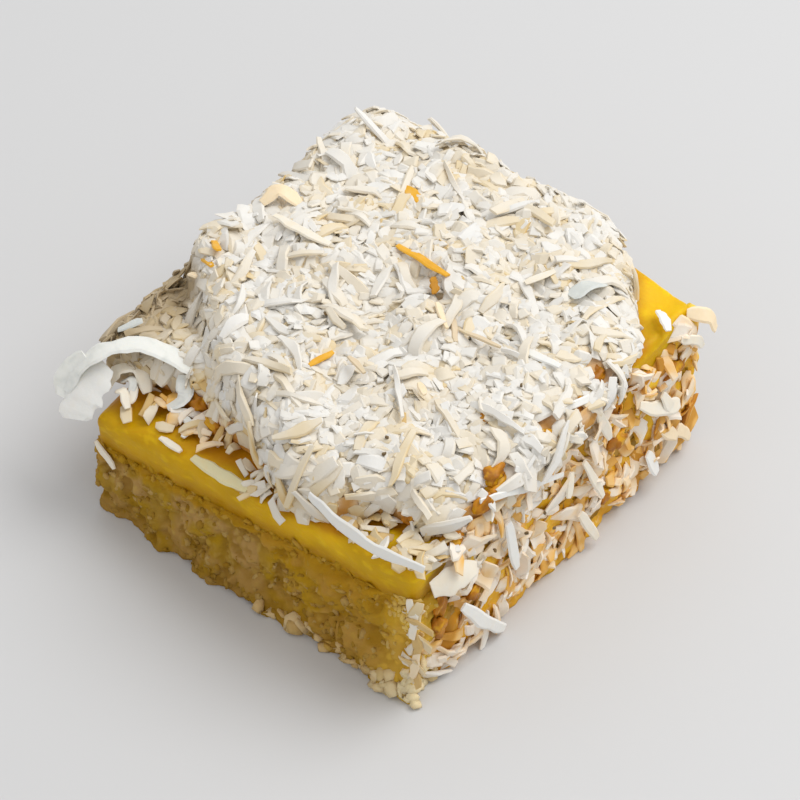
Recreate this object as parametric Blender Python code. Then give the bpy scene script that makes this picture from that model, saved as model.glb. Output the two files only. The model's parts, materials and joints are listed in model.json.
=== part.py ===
"""A square coconut lemon bar, cut from the edge of a tray bake. Blender 4.5, metres, +Z up.

Four pieces: a crumbly baked base, a layer of set lemon curd on it, a crust of toasted coconut on the one
side that stood against the tin, and a thick heap of grated coconut on top. The cut face is at -Y, and the
toasted side is at +X. The bar is thinnest at its left front corner, where the topping has slid away.
"""

import math
import random

import bmesh
import bpy
from mathutils import Matrix, Vector, noise
from mathutils.bvhtree import BVHTree

MM = 0.001

# The bar's plan. The body ends at BODY_RIGHT, and the toasted edge fills the rest up to RIGHT.
LEFT, RIGHT = -29 * MM, 29 * MM
FRONT, BACK = -31 * MM, 31 * MM
BODY_RIGHT = 26.4 * MM
CORNER_RADIUS = 1.4 * MM
GAP = 0.3 * MM

# Height of the baked base at its corners, and the curd's thickness over it.
BASE_LEFT_FRONT, BASE_RIGHT_FRONT = 11 * MM, 17.2 * MM
BASE_LEFT_BACK, BASE_RIGHT_BACK = 15.5 * MM, 20.1 * MM
CURD_THICKNESS = 5.8 * MM

# The heap of coconut: its crown above the plate, and how its rim falls away. Past a line across the
# left front corner it has slid down to a lower shelf.
HEAP_CROWN = 32.4 * MM
HEAP_LEAN = 1.1 * MM
HEAP_DOME = 0.7 * MM
HEAP_LUMPS = 1.5 * MM
HEAP_RIM_SHARE = 0.66
HEAP_SHOULDER = 3.5 * MM
SLIP_LINE_START = Vector((-30.2 * MM, -7.1 * MM))
SLIP_LINE_END = Vector((-9.4 * MM, -24.4 * MM))
SLIP_DROP = 5.6 * MM
SLIP_WIDTH = 3.2 * MM

# The toasted edge: a thin crust of coconut on the side that stood against the tin.
EDGE_INNER, EDGE_OUTER = 26.7 * MM, 28.5 * MM

# Points round each piece, which set the size of the relief that it can show.
BASE_POINTS, CURD_POINTS, HEAP_POINTS = 104, 72, 84
CRUMB_SIZE, CRUMB_RELIEF = 3.4 * MM, 1.5 * MM
PACKED_SIZE, PACKED_RELIEF = 5 * MM, 1.2 * MM

# Coconut comes as broad chips and as narrow shreds. Only the larger ones are made here.
FLAKE_THICKNESS = 0.8 * MM
CHIP_LENGTH, CHIP_WIDTH = (4.6 * MM, 7 * MM), (2.6 * MM, 3.8 * MM)
SHRED_LENGTH, SHRED_WIDTH = (8 * MM, 12 * MM), (1.7 * MM, 2.3 * MM)
SMALL_LENGTH, SMALL_WIDTH = (3.8 * MM, 5.8 * MM), (2 * MM, 3 * MM)
HEAP_PLACES, EDGE_PLACES, NEAR_CORNER_PLACES, LEFT_CORNER_PLACES = 142, 34, 12, 22


def mix(a, b, share):
    return a + (b - a) * share


def base_top(x, y):
    across = (x - LEFT) / (RIGHT - LEFT)
    along = (y - FRONT) / (BACK - FRONT)
    front = mix(BASE_LEFT_FRONT, BASE_RIGHT_FRONT, across)
    back = mix(BASE_LEFT_BACK, BASE_RIGHT_BACK, across)
    return mix(front, back, along)


def curd_top(x, y):
    return base_top(x, y) + GAP + CURD_THICKNESS


def near(x, y, at_x, at_y, reach):
    """1 at the given place in plan, falling smoothly to nothing a few reaches away."""
    return math.exp(-((x - at_x) ** 2 + (y - at_y) ** 2) / reach**2)


def past_slip_line(x, y):
    """How far a place in plan lies beyond the slip line, towards the left front corner."""
    along = (SLIP_LINE_END - SLIP_LINE_START).normalized()
    return Vector((along.y, -along.x)).dot(Vector((x, y)) - SLIP_LINE_START)


def heap_crown(x, y):
    """The height that the heap would have here with no rim."""
    dome = HEAP_DOME * ((x / RIGHT) ** 2 + (y / BACK) ** 2)
    lumps = HEAP_LUMPS * noise.noise(Vector((x, y, 0)) / (9 * MM))
    lean = HEAP_LEAN * y / BACK
    slipped = min(max(past_slip_line(x, y) / SLIP_WIDTH + 0.5, 0), 1)
    slip = SLIP_DROP * slipped * slipped * (3 - 2 * slipped)
    thin_right = 5 * MM * near(x, y, RIGHT, BACK, 13 * MM)
    low_front = 3 * MM * near(x, y, RIGHT, FRONT, 15 * MM)
    return HEAP_CROWN + lean - dome + lumps - slip - thin_right - low_front


def smooth_loop(corners, count):
    """A closed curve through the corners, read off at count evenly spaced points."""
    fine = []
    steps = 12
    for i in range(len(corners)):
        a, b, c, d = (Vector(corners[(i + k - 1) % len(corners)]) for k in range(4))
        for step in range(steps):
            t = step / steps
            bend = (2 * a - 5 * b + 4 * c - d) * t**2 + (3 * b - a - 3 * c + d) * t**3
            fine.append(0.5 * (2 * b + (c - a) * t + bend))
    return evenly_spaced(fine, count)


def evenly_spaced(loop, count):
    lengths = [(loop[(i + 1) % len(loop)] - p).length for i, p in enumerate(loop)]
    total = sum(lengths)
    points = []
    index, passed = 0, 0.0
    for i in range(count):
        wanted = total * i / count
        while passed + lengths[index] < wanted:
            passed += lengths[index]
            index += 1
        here, after = loop[index], loop[(index + 1) % len(loop)]
        points.append(here.lerp(after, (wanted - passed) / lengths[index]))
    return points


def rounded_rectangle(left, right, front, back, radius, count):
    """The plan of a slab with round corners, anticlockwise from its front right corner."""
    arcs = (
        (right - radius, front + radius, -90),
        (right - radius, back - radius, 0),
        (left + radius, back - radius, 90),
        (left + radius, front + radius, 180),
    )
    loop = []
    for centre_x, centre_y, start in arcs:
        for step in range(7):
            angle = math.radians(start + 15 * step)
            loop.append(Vector((centre_x + radius * math.cos(angle), centre_y + radius * math.sin(angle))))
    return evenly_spaced(loop, count)


def outward(loop):
    """The direction that each point of an anticlockwise loop faces."""
    found = []
    for i in range(len(loop)):
        along = loop[(i + 1) % len(loop)] - loop[i - 1]
        found.append(Vector((along.y, -along.x)).normalized())
    return found


def crumb_relief(point, size):
    """Rounded grains with creases between them: near 1 on a grain's crown and below 0 in a crease."""
    distances = noise.voronoi(point / size)[0]
    return 1 - 1.7 * distances[0]


def new_object(name, mesh, material):
    obj = bpy.data.objects.new(name, mesh)
    bpy.context.scene.collection.objects.link(obj)
    mesh.materials.append(material)
    return obj


def closed_loft(name, rings, first_centre, last_centre, material):
    """A solid through rings of points, closed by a fan of faces at each end."""
    bm = bmesh.new()
    rows = [[bm.verts.new(p) for p in ring] for ring in rings]
    count = len(rows[0])
    for low, high in zip(rows, rows[1:]):
        for i in range(count):
            j = (i + 1) % count
            bm.faces.new((low[i], low[j], high[j], high[i]))
    first, last = bm.verts.new(first_centre), bm.verts.new(last_centre)
    for i in range(count):
        j = (i + 1) % count
        bm.faces.new((first, rows[0][j], rows[0][i]))
        bm.faces.new((last, rows[-1][i], rows[-1][j]))
    bmesh.ops.recalc_face_normals(bm, faces=bm.faces)
    mesh = bpy.data.meshes.new(name)
    bm.to_mesh(mesh)
    bm.free()
    mesh.shade_smooth()
    mesh.set_sharp_from_angle(angle=math.radians(40))
    return new_object(name, mesh, material)


def ring_towards(loop, centre, share, height):
    """The loop drawn in towards the centre, each point at the height that the function gives there."""
    points = [centre + (p - centre) * share for p in loop]
    return [Vector((p.x, p.y, height(p.x, p.y))) for p in points]


def ring_inset(loop, facing, inset, height):
    """The loop moved inwards by a distance, or outwards where it is negative."""
    points = [p - n * inset for p, n in zip(loop, facing)]
    return [Vector((p.x, p.y, height(p.x, p.y))) for p in points]


def make_base(material):
    """The baked base: flat underneath, with crumb standing out of its cut faces."""
    loop = rounded_rectangle(LEFT, BODY_RIGHT, FRONT, BACK, CORNER_RADIUS, BASE_POINTS)
    facing = outward(loop)
    centre = Vector(((LEFT + BODY_RIGHT) / 2, (FRONT + BACK) / 2))
    side_levels = 8
    rings = [ring_inset(loop, facing, 0.9 * MM, lambda x, y: 0)]
    for level in range(side_levels):
        share = (level + 0.45) / (side_levels - 0.1)
        ring = []
        for p, n in zip(loop, facing):
            at = Vector((p.x, p.y, share * base_top(p.x, p.y)))
            grain = crumb_relief(at, CRUMB_SIZE)
            drift = noise.noise(at / (13 * MM))
            foot = 0.4 * MM * max(0, 1 - share * 5)
            out = CRUMB_RELIEF * (grain - 0.6) + 0.6 * MM * drift - foot
            out = min(out, 0.5 * MM)
            # The side that carries the toasted edge is smooth.
            if n.x > 0.8:
                out = -0.1 * MM
            ring.append(at + Vector((n.x, n.y, 0)) * out)
        rings.append(ring)
    rings.append(ring_inset(loop, facing, 0.8 * MM, base_top))
    rings.append(ring_towards(loop, centre, 0.5, base_top))
    middle = Vector((centre.x, centre.y, base_top(centre.x, centre.y)))
    return closed_loft("baked_base", rings, Vector((centre.x, centre.y, 0)), middle, material)


def make_curd(material):
    """The set curd: a slab with soft edges, which slumps a little over the base at its cut faces."""
    loop = rounded_rectangle(LEFT, BODY_RIGHT, FRONT, BACK, CORNER_RADIUS, CURD_POINTS)
    facing = outward(loop)
    centre = Vector(((LEFT + BODY_RIGHT) / 2, (FRONT + BACK) / 2))

    def underside(x, y):
        return base_top(x, y) + GAP

    rings = [ring_towards(loop, centre, 0.5, underside), ring_inset(loop, facing, 0.7 * MM, underside)]
    for share, inset in ((0.12, 0.2), (0.5, 0.0), (0.85, 0.35)):
        ring = []
        for p, n in zip(loop, facing):
            at = Vector((p.x, p.y, underside(p.x, p.y) + share * CURD_THICKNESS))
            wave = 0.35 * MM * noise.noise(at / (8 * MM))
            drawn_in = inset * MM + 0.2 * MM + wave
            if n.x > 0.8:
                drawn_in = max(drawn_in, 0.1 * MM)
            ring.append(at - Vector((n.x, n.y, 0)) * drawn_in)
        rings.append(ring)
    rings.append(ring_inset(loop, facing, 1.5 * MM, curd_top))
    rings.append(ring_towards(loop, centre, 0.5, curd_top))
    low = Vector((centre.x, centre.y, underside(centre.x, centre.y)))
    high = Vector((centre.x, centre.y, curd_top(centre.x, centre.y)))
    return closed_loft("lemon_curd", rings, low, high, material)


# The heap's outline on the curd, in millimetres, from the left side round by the front.
HEAP_OUTLINE = [
    (-31.5, -20),
    (-28.5, -23.2),
    (-22, -21.6),
    (-15.5, -22.6),
    (-9.4, -24.8),
    (-3.4, -26.8),
    (2, -30.2),
    (7.8, -32),
    (12.8, -31),
    (15.6, -26.2),
    (19.5, -24.2),
    (25, -23.6),
    (27.6, -19),
    (29.5, -11),
    (30.2, -4),
    (28.5, 4),
    (26.2, 11.5),
    (25.8, 18),
    (21.8, 25),
    (17, 31.2),
    (12, 32.8),
    (-6, 33),
    (-24, 33),
    (-30.4, 32),
    (-31.6, 25),
    (-31.5, 8),
    (-31.8, -8),
]


def heap_loop(count):
    return smooth_loop([(x * MM, y * MM) for x, y in HEAP_OUTLINE], count)


def depth_inside(loop, x, y):
    """How far a place in plan is inside a loop; negative outside it."""
    here = Vector((x, y))
    nearest = 1.0
    inside = False
    for a, b in zip(loop, loop[1:] + loop[:1]):
        edge = b - a
        share = min(max((here - a).dot(edge) / edge.length_squared, 0), 1)
        nearest = min(nearest, (a + edge * share - here).length)
        if (a.y > y) != (b.y > y) and x < a.x + (y - a.y) * edge.x / edge.y:
            inside = not inside
    return nearest if inside else -nearest


def heap_top(loop, x, y):
    """The heap's surface: full height inside its shoulder, and falling to a steep rim at its outline."""
    floor = curd_top(x, y) + GAP
    full = heap_crown(x, y) - floor
    rise = min(max(depth_inside(loop, x, y), 0) / HEAP_SHOULDER, 1)
    return floor + full * mix(HEAP_RIM_SHARE, 1, 1 - (1 - rise) ** 2)


def heap_normal(loop, x, y):
    step = 0.8 * MM
    slope_x = (heap_top(loop, x + step, y) - heap_top(loop, x - step, y)) / (2 * step)
    slope_y = (heap_top(loop, x, y + step) - heap_top(loop, x, y - step)) / (2 * step)
    return Vector((-slope_x, -slope_y, 1)).normalized()


def make_heap_core(loop, material):
    """The packed coconut under the flakes that show."""
    facing = outward(loop)
    centre = Vector((-1 * MM, 3 * MM))

    def underside(x, y):
        return curd_top(x, y) + GAP

    def bumpy(x, y):
        at = Vector((x, y, heap_top(loop, x, y)))
        return at.z + PACKED_RELIEF * (crumb_relief(at, PACKED_SIZE) - 0.7)

    def bulging(x, y):
        return mix(underside(x, y), heap_top(loop, x, y), 0.6)

    rings = [ring_towards(loop, centre, 0.5, underside), ring_inset(loop, facing, 0.4 * MM, underside)]
    rings.append(ring_inset(loop, facing, -0.2 * MM, bulging))
    for share in (0.985, 0.93, 0.85, 0.74, 0.6, 0.42, 0.22):
        rings.append(ring_towards(loop, centre, share, bumpy))
    low = Vector((centre.x, centre.y, underside(centre.x, centre.y)))
    high = Vector((centre.x, centre.y, bumpy(centre.x, centre.y)))
    return closed_loft("coconut_topping", rings, low, high, material)


def strip_mesh(name, rows):
    """A closed strip through rows of four corners each."""
    bm = bmesh.new()
    corners = [[bm.verts.new(p) for p in row] for row in rows]
    for a, b in zip(corners, corners[1:]):
        for i in range(4):
            j = (i + 1) % 4
            bm.faces.new((a[i], a[j], b[j], b[i]))
    bm.faces.new(corners[0])
    bm.faces.new(reversed(corners[-1]))
    bmesh.ops.recalc_face_normals(bm, faces=bm.faces)
    mesh = bpy.data.meshes.new(name)
    bm.to_mesh(mesh)
    bm.free()
    return mesh


def strip_corners(half_width):
    half = FLAKE_THICKNESS / 2
    return ((-half_width, -half), (half_width, -half), (half_width, half), (-half_width, half))


def flake_mesh(name, length, width, curl, twist, rng, sections=3):
    """One flake or shred: a bent, uneven strip lying along X, with its hollow side down."""
    rows = []
    for i in range(sections):
        t = 2 * i / (sections - 1) - 1
        half_width = 0.5 * width * (1 - 0.35 * t * t) * rng.uniform(0.8, 1.0)
        turn = Matrix.Rotation(twist * t, 3, "X")
        middle = Vector((t * length / 2, 0, -curl * t * t))
        rows.append([middle + turn @ Vector((0, y, z)) for y, z in strip_corners(half_width)])
    return strip_mesh(name, rows)


def strip_along(name, path, width):
    """A single long strip through points in millimetres, kept level across its width."""
    points = [Vector(p) * MM for p in path]
    last = len(points) - 1
    rows = []
    for i, point in enumerate(points):
        along = (points[min(i + 1, last)] - points[max(i - 1, 0)]).normalized()
        side = Vector((0, 0, 1)).cross(along).normalized()
        face = along.cross(side)
        t = 2 * i / last - 1
        half_width = 0.5 * width * MM * (1 - 0.3 * t * t)
        rows.append([point + side * y + face * z for y, z in strip_corners(half_width)])
    return strip_mesh(name, rows)


def lying_on(place, normal, yaw, pitch, roll):
    """A matrix that lays a flake's own Z along a surface normal, turned, tipped and rolled from there."""
    level = normal.to_track_quat("Z", "Y").to_matrix().to_4x4()
    turn = Matrix.Rotation(yaw, 4, "Z") @ Matrix.Rotation(pitch, 4, "Y") @ Matrix.Rotation(roll, 4, "X")
    return Matrix.Translation(place) @ level @ turn


def spread(count, low_x, high_x, low_y, high_y):
    """Places that fill a rectangle evenly in no visible rows, from the plastic number's sequence."""
    plastic = 1.32471795724
    for i in range(1, count + 1):
        yield mix(low_x, high_x, (0.5 + i / plastic) % 1), mix(low_y, high_y, (0.5 + i / plastic**2) % 1)


def lift_clear(mesh, floor):
    """Raises a flake until every corner of it is a gap above what it lies over."""
    short = max(floor(v.co.x, v.co.y) + GAP + 0.1 * MM - v.co.z for v in mesh.vertices)
    if short > 0:
        mesh.transform(Matrix.Translation((0, 0, short)))
    return mesh


# A broad ribbon of coconut curls out of the heap, over the left corner and down again.
CORNER_RIBBON = (
    (-17, -20, 23),
    (-21, -21.2, 24.6),
    (-26.5, -22.4, 25.2),
    (-30.6, -25.8, 24.2),
    (-32.6, -29.4, 21.4),
    (-31.6, -33, 17.9),
)

# Long strips that hang from the heap, as paths and widths in millimetres.
HEAP_STRIPS = [
    (CORNER_RIBBON, 4.2),
    # A shred along the front edge to the near corner.
    (((8, -30.5, 27.6), (15, -32.4, 27.2), (22, -32.2, 25.8), (28.4, -30, 24.4)), 2.3),
    # Three that stick out of the left side.
    (((-28.5, -20, 24.5), (-34, -19.4, 26.6)), 2.6),
    (((-28.5, -13.5, 25), (-33.8, -15.6, 27.4)), 2.4),
    (((-29, -7, 27.5), (-33.2, -9, 29.4)), 2.8),
]


def heap_flakes(loop, rng):
    """The flakes that show on the heap, spread over the whole of it. Every fifth is a long shred."""
    meshes = [strip_along("strip", path, width) for path, width in HEAP_STRIPS]
    shallow, bank = 0.6 * MM, 3 * MM
    for x, y in spread(HEAP_PLACES, LEFT - 1 * MM, RIGHT + 1 * MM, FRONT - 2 * MM, BACK + 1 * MM):
        depth = depth_inside(loop, x, y)
        if depth < shallow:
            continue
        long_one = len(meshes) % 5 == 0
        length = rng.uniform(*(SHRED_LENGTH if long_one else CHIP_LENGTH))
        width = rng.uniform(*(SHRED_WIDTH if long_one else CHIP_WIDTH))
        sections = 3 if long_one else 2
        curl = rng.uniform(0, 0.14) * length
        mesh = flake_mesh("flake", length, width, curl, rng.uniform(-0.3, 0.3), rng, sections)
        towards_up = Vector((0, 0, 0.5 if depth < bank else 0.2))
        normal = (heap_normal(loop, x, y) + towards_up).normalized()
        pitch, roll = rng.gauss(0, 0.34), rng.gauss(0, 0.4)
        place = Vector((x, y, heap_top(loop, x, y) + rng.uniform(-0.1, 0.5) * MM))
        mesh.transform(lying_on(place, normal, rng.uniform(0, math.pi), pitch, roll))
        meshes.append(lift_clear(mesh, curd_top))
    return meshes


def rim_flakes(loop, rng):
    """Flakes that hang down round the heap's rim, standing on edge against its steep side."""
    meshes = []
    facing = outward(loop)
    for i in range(0, len(loop), 4):
        p, n = loop[i], facing[i]
        low, high = curd_top(p.x, p.y) + GAP, heap_top(loop, p.x, p.y)
        mesh = flake_mesh(
            "rim", rng.uniform(*SMALL_LENGTH), rng.uniform(*SMALL_WIDTH), 0, rng.uniform(-0.3, 0.3), rng, 2
        )
        normal = Vector((n.x, n.y, rng.uniform(0.2, 0.9))).normalized()
        place = Vector((p.x, p.y, mix(low, high, rng.uniform(0.35, 0.85))))
        mesh.transform(lying_on(place, normal, rng.uniform(0, math.pi), rng.gauss(0, 0.2), rng.gauss(0, 0.2)))
        meshes.append(lift_clear(mesh, curd_top))
    return meshes


def triangulate(mesh):
    """Splits bent faces into flat ones, so that a union cuts them cleanly."""
    bm = bmesh.new()
    bm.from_mesh(mesh)
    bmesh.ops.triangulate(bm, faces=bm.faces)
    bm.to_mesh(mesh)
    bm.free()


def fuse(obj, meshes):
    """Joins the pieces to the object by one union, and keeps its outer skin only."""
    for mesh in [obj.data, *meshes]:
        triangulate(mesh)
    collection = bpy.data.collections.new(obj.name + "_pieces")
    bpy.context.scene.collection.children.link(collection)
    pieces = [bpy.data.objects.new("piece", mesh) for mesh in meshes]
    for piece in pieces:
        collection.objects.link(piece)
    union = obj.modifiers.new("union", "BOOLEAN")
    union.operation = "UNION"
    union.operand_type = "COLLECTION"
    union.collection = collection
    union.solver = "MANIFOLD"
    apply_modifiers(obj)
    for piece in pieces:
        bpy.data.objects.remove(piece)
    bpy.data.collections.remove(collection)
    keep_outer_skin(obj)


def apply_modifiers(obj):
    bpy.context.view_layer.update()
    evaluated = obj.evaluated_get(bpy.context.evaluated_depsgraph_get())
    joined = bpy.data.meshes.new_from_object(evaluated)
    obj.modifiers.clear()
    obj.data = joined


def keep_outer_skin(obj):
    """Drops loose scraps and fills sealed hollows, by keeping the largest surface whose faces are joined."""
    bm = bmesh.new()
    bm.from_mesh(obj.data)
    bmesh.ops.triangulate(bm, faces=bm.faces)
    unseen = set(bm.faces)
    skins = []
    while unseen:
        skin, waiting = set(), [unseen.pop()]
        while waiting:
            face = waiting.pop()
            skin.add(face)
            for edge in face.edges:
                for other in edge.link_faces:
                    if other in unseen:
                        unseen.discard(other)
                        waiting.append(other)
        skins.append(skin)
    outer = max(skins, key=len)
    bmesh.ops.delete(bm, geom=[f for f in bm.faces if f not in outer], context="FACES")
    bm.to_mesh(obj.data)
    bm.free()


def edge_height(y):
    """The top of the toasted edge, worn down unevenly from just under the curd's own."""
    worn = abs(noise.noise(Vector((0, y, 0)) / (5 * MM)))
    return curd_top(EDGE_OUTER, y) - 0.2 * MM - 1.3 * MM * worn


def make_toasted_edge(material):
    """A slab against the bar's right side, whose outer face is uneven like packed coconut."""
    columns, rows_up = 24, 6
    inset = 0.5 * MM

    def outer_point(column, row):
        y = mix(FRONT + inset, BACK - inset, column / columns)
        z = edge_height(y) * row / rows_up
        at = Vector((EDGE_OUTER, y, z))
        bulge = PACKED_RELIEF * (crumb_relief(at, PACKED_SIZE) - 0.5)
        border = 0 if 0 < row < rows_up and 0 < column < columns else 0.7 * MM
        return Vector((EDGE_OUTER + max(bulge, -1 * MM) - border, y, z))

    bm = bmesh.new()
    grid = [[bm.verts.new(outer_point(c, r)) for c in range(columns + 1)] for r in range(rows_up + 1)]
    back = [
        [bm.verts.new((EDGE_INNER, grid[r][c].co.y, grid[r][c].co.z)) for c in range(columns + 1)]
        for r in (0, rows_up)
    ]
    for r in range(rows_up):
        for c in range(columns):
            bm.faces.new((grid[r][c], grid[r][c + 1], grid[r + 1][c + 1], grid[r + 1][c]))
    for c in range(columns):
        bm.faces.new((grid[0][c + 1], grid[0][c], back[0][c], back[0][c + 1]))
        bm.faces.new((grid[rows_up][c], grid[rows_up][c + 1], back[1][c + 1], back[1][c]))
        bm.faces.new((back[0][c + 1], back[0][c], back[1][c], back[1][c + 1]))
    for c in (0, columns):
        bm.faces.new([row[c] for row in grid] + [back[1][c], back[0][c]])
    bmesh.ops.recalc_face_normals(bm, faces=bm.faces)
    mesh = bpy.data.meshes.new("toasted_edge")
    bm.to_mesh(mesh)
    bm.free()
    return new_object("toasted_edge", mesh, material)


def edge_flakes(rng):
    """Toasted flakes lying flat against the side, turned every way, and more of them upright than level."""
    meshes = []
    margin = 2.5 * MM
    for y, share in spread(EDGE_PLACES, FRONT + margin, BACK - margin, 0.1, 0.88):
        place = Vector((EDGE_OUTER + rng.uniform(0.1, 0.6) * MM, y, edge_height(y) * share))
        length, width = rng.uniform(*SMALL_LENGTH) + 1 * MM, rng.uniform(*SMALL_WIDTH)
        mesh = flake_mesh("toasted", length, width, 0, rng.uniform(-0.3, 0.3), rng, 2)
        outwards = Vector((1, 0, 0))
        mesh.transform(lying_on(place, outwards, rng.gauss(0, 0.8), rng.gauss(0, 0.18), rng.gauss(0, 0.25)))
        lowest = min(v.co.z for v in mesh.vertices)
        highest = max(v.co.z for v in mesh.vertices)
        inmost = min(v.co.x for v in mesh.vertices)
        rise = max(GAP / 2 - lowest, 0) - max(highest - edge_height(y), 0)
        mesh.transform(Matrix.Translation((max(EDGE_INNER + GAP - inmost, 0), 0, rise)))
        meshes.append(mesh)
    return meshes


# Single shreds that lie on the bare curd: each one's path and width in millimetres.
CURD_SHREDS = [
    # Across the curd's top edge at the front, and a short one beside it.
    (((-11.2, -30.2, 19.3), (-7, -30.8, 19.9), (-2.8, -30.9, 20.2)), 2.2),
    (((-17.4, -29.6, 18.5), (-13.2, -30.2, 19.0)), 1.4),
    # One at the foot of the curd near the left corner.
    (((-27.4, -30.8, 13.6), (-23.4, -31.0, 12.3)), 1.4),
    # One flake on the bare curd at the right hand corner.
    (((23.8, 22.6, 24.6), (24.8, 26.4, 24.8)), 2.4),
]
NEAR_CORNER = (14 * MM, 25.5 * MM, -29.5 * MM, -15 * MM)
LEFT_CORNER = (-28 * MM, -4 * MM, -29.5 * MM, -9 * MM)


def curd_flakes(loop, heap, edge, rng):
    """Stray flakes on the bare curd at its corners. One that would cross another piece is left out."""
    meshes = [strip_along("shred", path, width) for path, width in CURD_SHREDS]
    near_places = spread(NEAR_CORNER_PLACES, *NEAR_CORNER)
    left_places = spread(LEFT_CORNER_PLACES, *LEFT_CORNER)
    for x, y in [*near_places, *left_places]:
        if depth_inside(loop, x, y) > -1.2 * MM:
            continue
        mesh = flake_mesh("stray", rng.uniform(*SMALL_LENGTH), rng.uniform(*SMALL_WIDTH), 0, 0.2, rng, 2)
        place = Vector((x, y, curd_top(x, y) + 0.25 * MM))
        mesh.transform(lying_on(place, Vector((0, 0, 1)), rng.uniform(0, math.pi), rng.gauss(0, 0.15), 0))
        meshes.append(mesh)
    trees = [BVHTree.FromObject(obj, bpy.context.evaluated_depsgraph_get()) for obj in (heap, edge)]
    return [mesh for mesh in meshes if all(clear_of(mesh, tree) for tree in trees)]


def clear_of(mesh, tree):
    """Whether a flake, grown by the gap all round, stays out of another piece."""
    centre = sum((v.co for v in mesh.vertices), Vector()) / len(mesh.vertices)
    reach = max((v.co - centre).length for v in mesh.vertices)
    grown = [centre + (v.co - centre) * (1 + 2 * GAP / reach) for v in mesh.vertices]
    grown += [p + Vector((0, 0, GAP)) for p in grown]
    faces = [tuple(p.vertices) for p in mesh.polygons]
    shifted = [tuple(i + len(mesh.vertices) for i in face) for face in faces]
    return not BVHTree.FromPolygons(grown, faces + shifted).overlap(tree)


def food_material(name, colour, roughness):
    material = bpy.data.materials.new(name)
    material.use_nodes = True
    shader = material.node_tree.nodes["Principled BSDF"]
    shader.inputs["Base Color"].default_value = (*colour, 1)
    shader.inputs["Roughness"].default_value = roughness
    shader.inputs["Metallic"].default_value = 0
    material.diffuse_color = (*colour, 1)
    return material


def stand_at_origin(objects):
    """Puts the middle of the whole bar's box over the origin, with its underside at zero."""
    corners = [v.co for obj in objects for v in obj.data.vertices]
    low = [min(c[axis] for c in corners) for axis in range(3)]
    high = [max(c[axis] for c in corners) for axis in range(3)]
    shift = Vector((-(low[0] + high[0]) / 2, -(low[1] + high[1]) / 2, -low[2]))
    for obj in objects:
        obj.location = shift
    return shift


def main():
    for obj in list(bpy.data.objects):
        bpy.data.objects.remove(obj)

    base = make_base(food_material("baked_base", (0.56, 0.38, 0.15), 0.85))
    curd = make_curd(food_material("lemon_curd", (0.80, 0.47, 0.01), 0.3))
    loop = heap_loop(HEAP_POINTS)
    heap = make_heap_core(loop, food_material("white_coconut", (0.87, 0.84, 0.77), 0.6))
    edge = make_toasted_edge(food_material("toasted_coconut", (0.72, 0.5, 0.28), 0.7))

    rng = random.Random(7)
    fuse(heap, heap_flakes(loop, rng) + rim_flakes(loop, rng))
    fuse(edge, edge_flakes(rng))
    fuse(curd, curd_flakes(loop, heap, edge, rng))
    shift = stand_at_origin([base, curd, heap, edge])
    print("shift of the bar's own plan, mm:", [round(value / MM, 2) for value in shift])


main()
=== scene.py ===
"""The looks of a square coconut lemon bar, cut from the edge of a tray bake. Blender 4.5, metres, +Z up.

The sections follow the bar as it is made: the baked base, the lemon curd set on it, the toasted crust that
grew against the tin, the heap of grated coconut, and the single strips and toasted bits that lie on all of
them. The last section is the studio.
"""

import json
import math
import random

import bmesh
import bpy
from mathutils import Matrix, Vector, noise

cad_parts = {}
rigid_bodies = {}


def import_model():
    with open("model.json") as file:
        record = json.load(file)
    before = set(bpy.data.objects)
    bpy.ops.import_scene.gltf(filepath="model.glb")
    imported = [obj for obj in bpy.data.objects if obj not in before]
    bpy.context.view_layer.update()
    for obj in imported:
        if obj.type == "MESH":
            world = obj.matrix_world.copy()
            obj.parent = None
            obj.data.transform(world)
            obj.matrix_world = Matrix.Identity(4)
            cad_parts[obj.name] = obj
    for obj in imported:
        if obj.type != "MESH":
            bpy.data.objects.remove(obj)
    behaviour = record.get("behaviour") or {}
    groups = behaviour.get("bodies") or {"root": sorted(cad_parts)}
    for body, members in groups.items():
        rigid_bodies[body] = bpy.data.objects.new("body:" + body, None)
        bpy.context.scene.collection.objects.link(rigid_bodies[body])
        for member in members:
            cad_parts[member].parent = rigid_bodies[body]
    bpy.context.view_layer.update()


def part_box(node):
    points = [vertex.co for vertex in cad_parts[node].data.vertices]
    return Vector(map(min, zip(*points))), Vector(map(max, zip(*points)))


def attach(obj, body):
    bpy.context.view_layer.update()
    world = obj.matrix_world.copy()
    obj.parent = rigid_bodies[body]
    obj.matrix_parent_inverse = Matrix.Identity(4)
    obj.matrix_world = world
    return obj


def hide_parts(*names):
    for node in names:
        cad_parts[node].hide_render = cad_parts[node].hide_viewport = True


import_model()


# The baked base
# A short, crumbly dough of flour, butter and coconut, pressed into the tin and baked until it is set. The
# knife tore grains out of its cut faces, so they are all lumps and pits, and crumbs of the cut cling to them.

MM = 0.001

# The bar's own plan, and the way from there to the frame.
LEFT, RIGHT = -29 * MM, 29 * MM
FRONT, BACK = -31 * MM, 31 * MM
BODY_RIGHT = 27.5 * MM
CORNER_RADIUS, CORNER_STEPS = 1.4 * MM, 6
EDGE_INNER = 26.7 * MM
SHIFT = Vector((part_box("toasted_edge")[0].x - EDGE_INNER, sum(c.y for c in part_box("baked_base")) / 2, 0))

BASE_LEFT_FRONT, BASE_RIGHT_FRONT = 11 * MM, 17.2 * MM
BASE_LEFT_BACK, BASE_RIGHT_BACK = 15.5 * MM, 20.1 * MM
LAYER_GAP = 0.3 * MM

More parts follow.
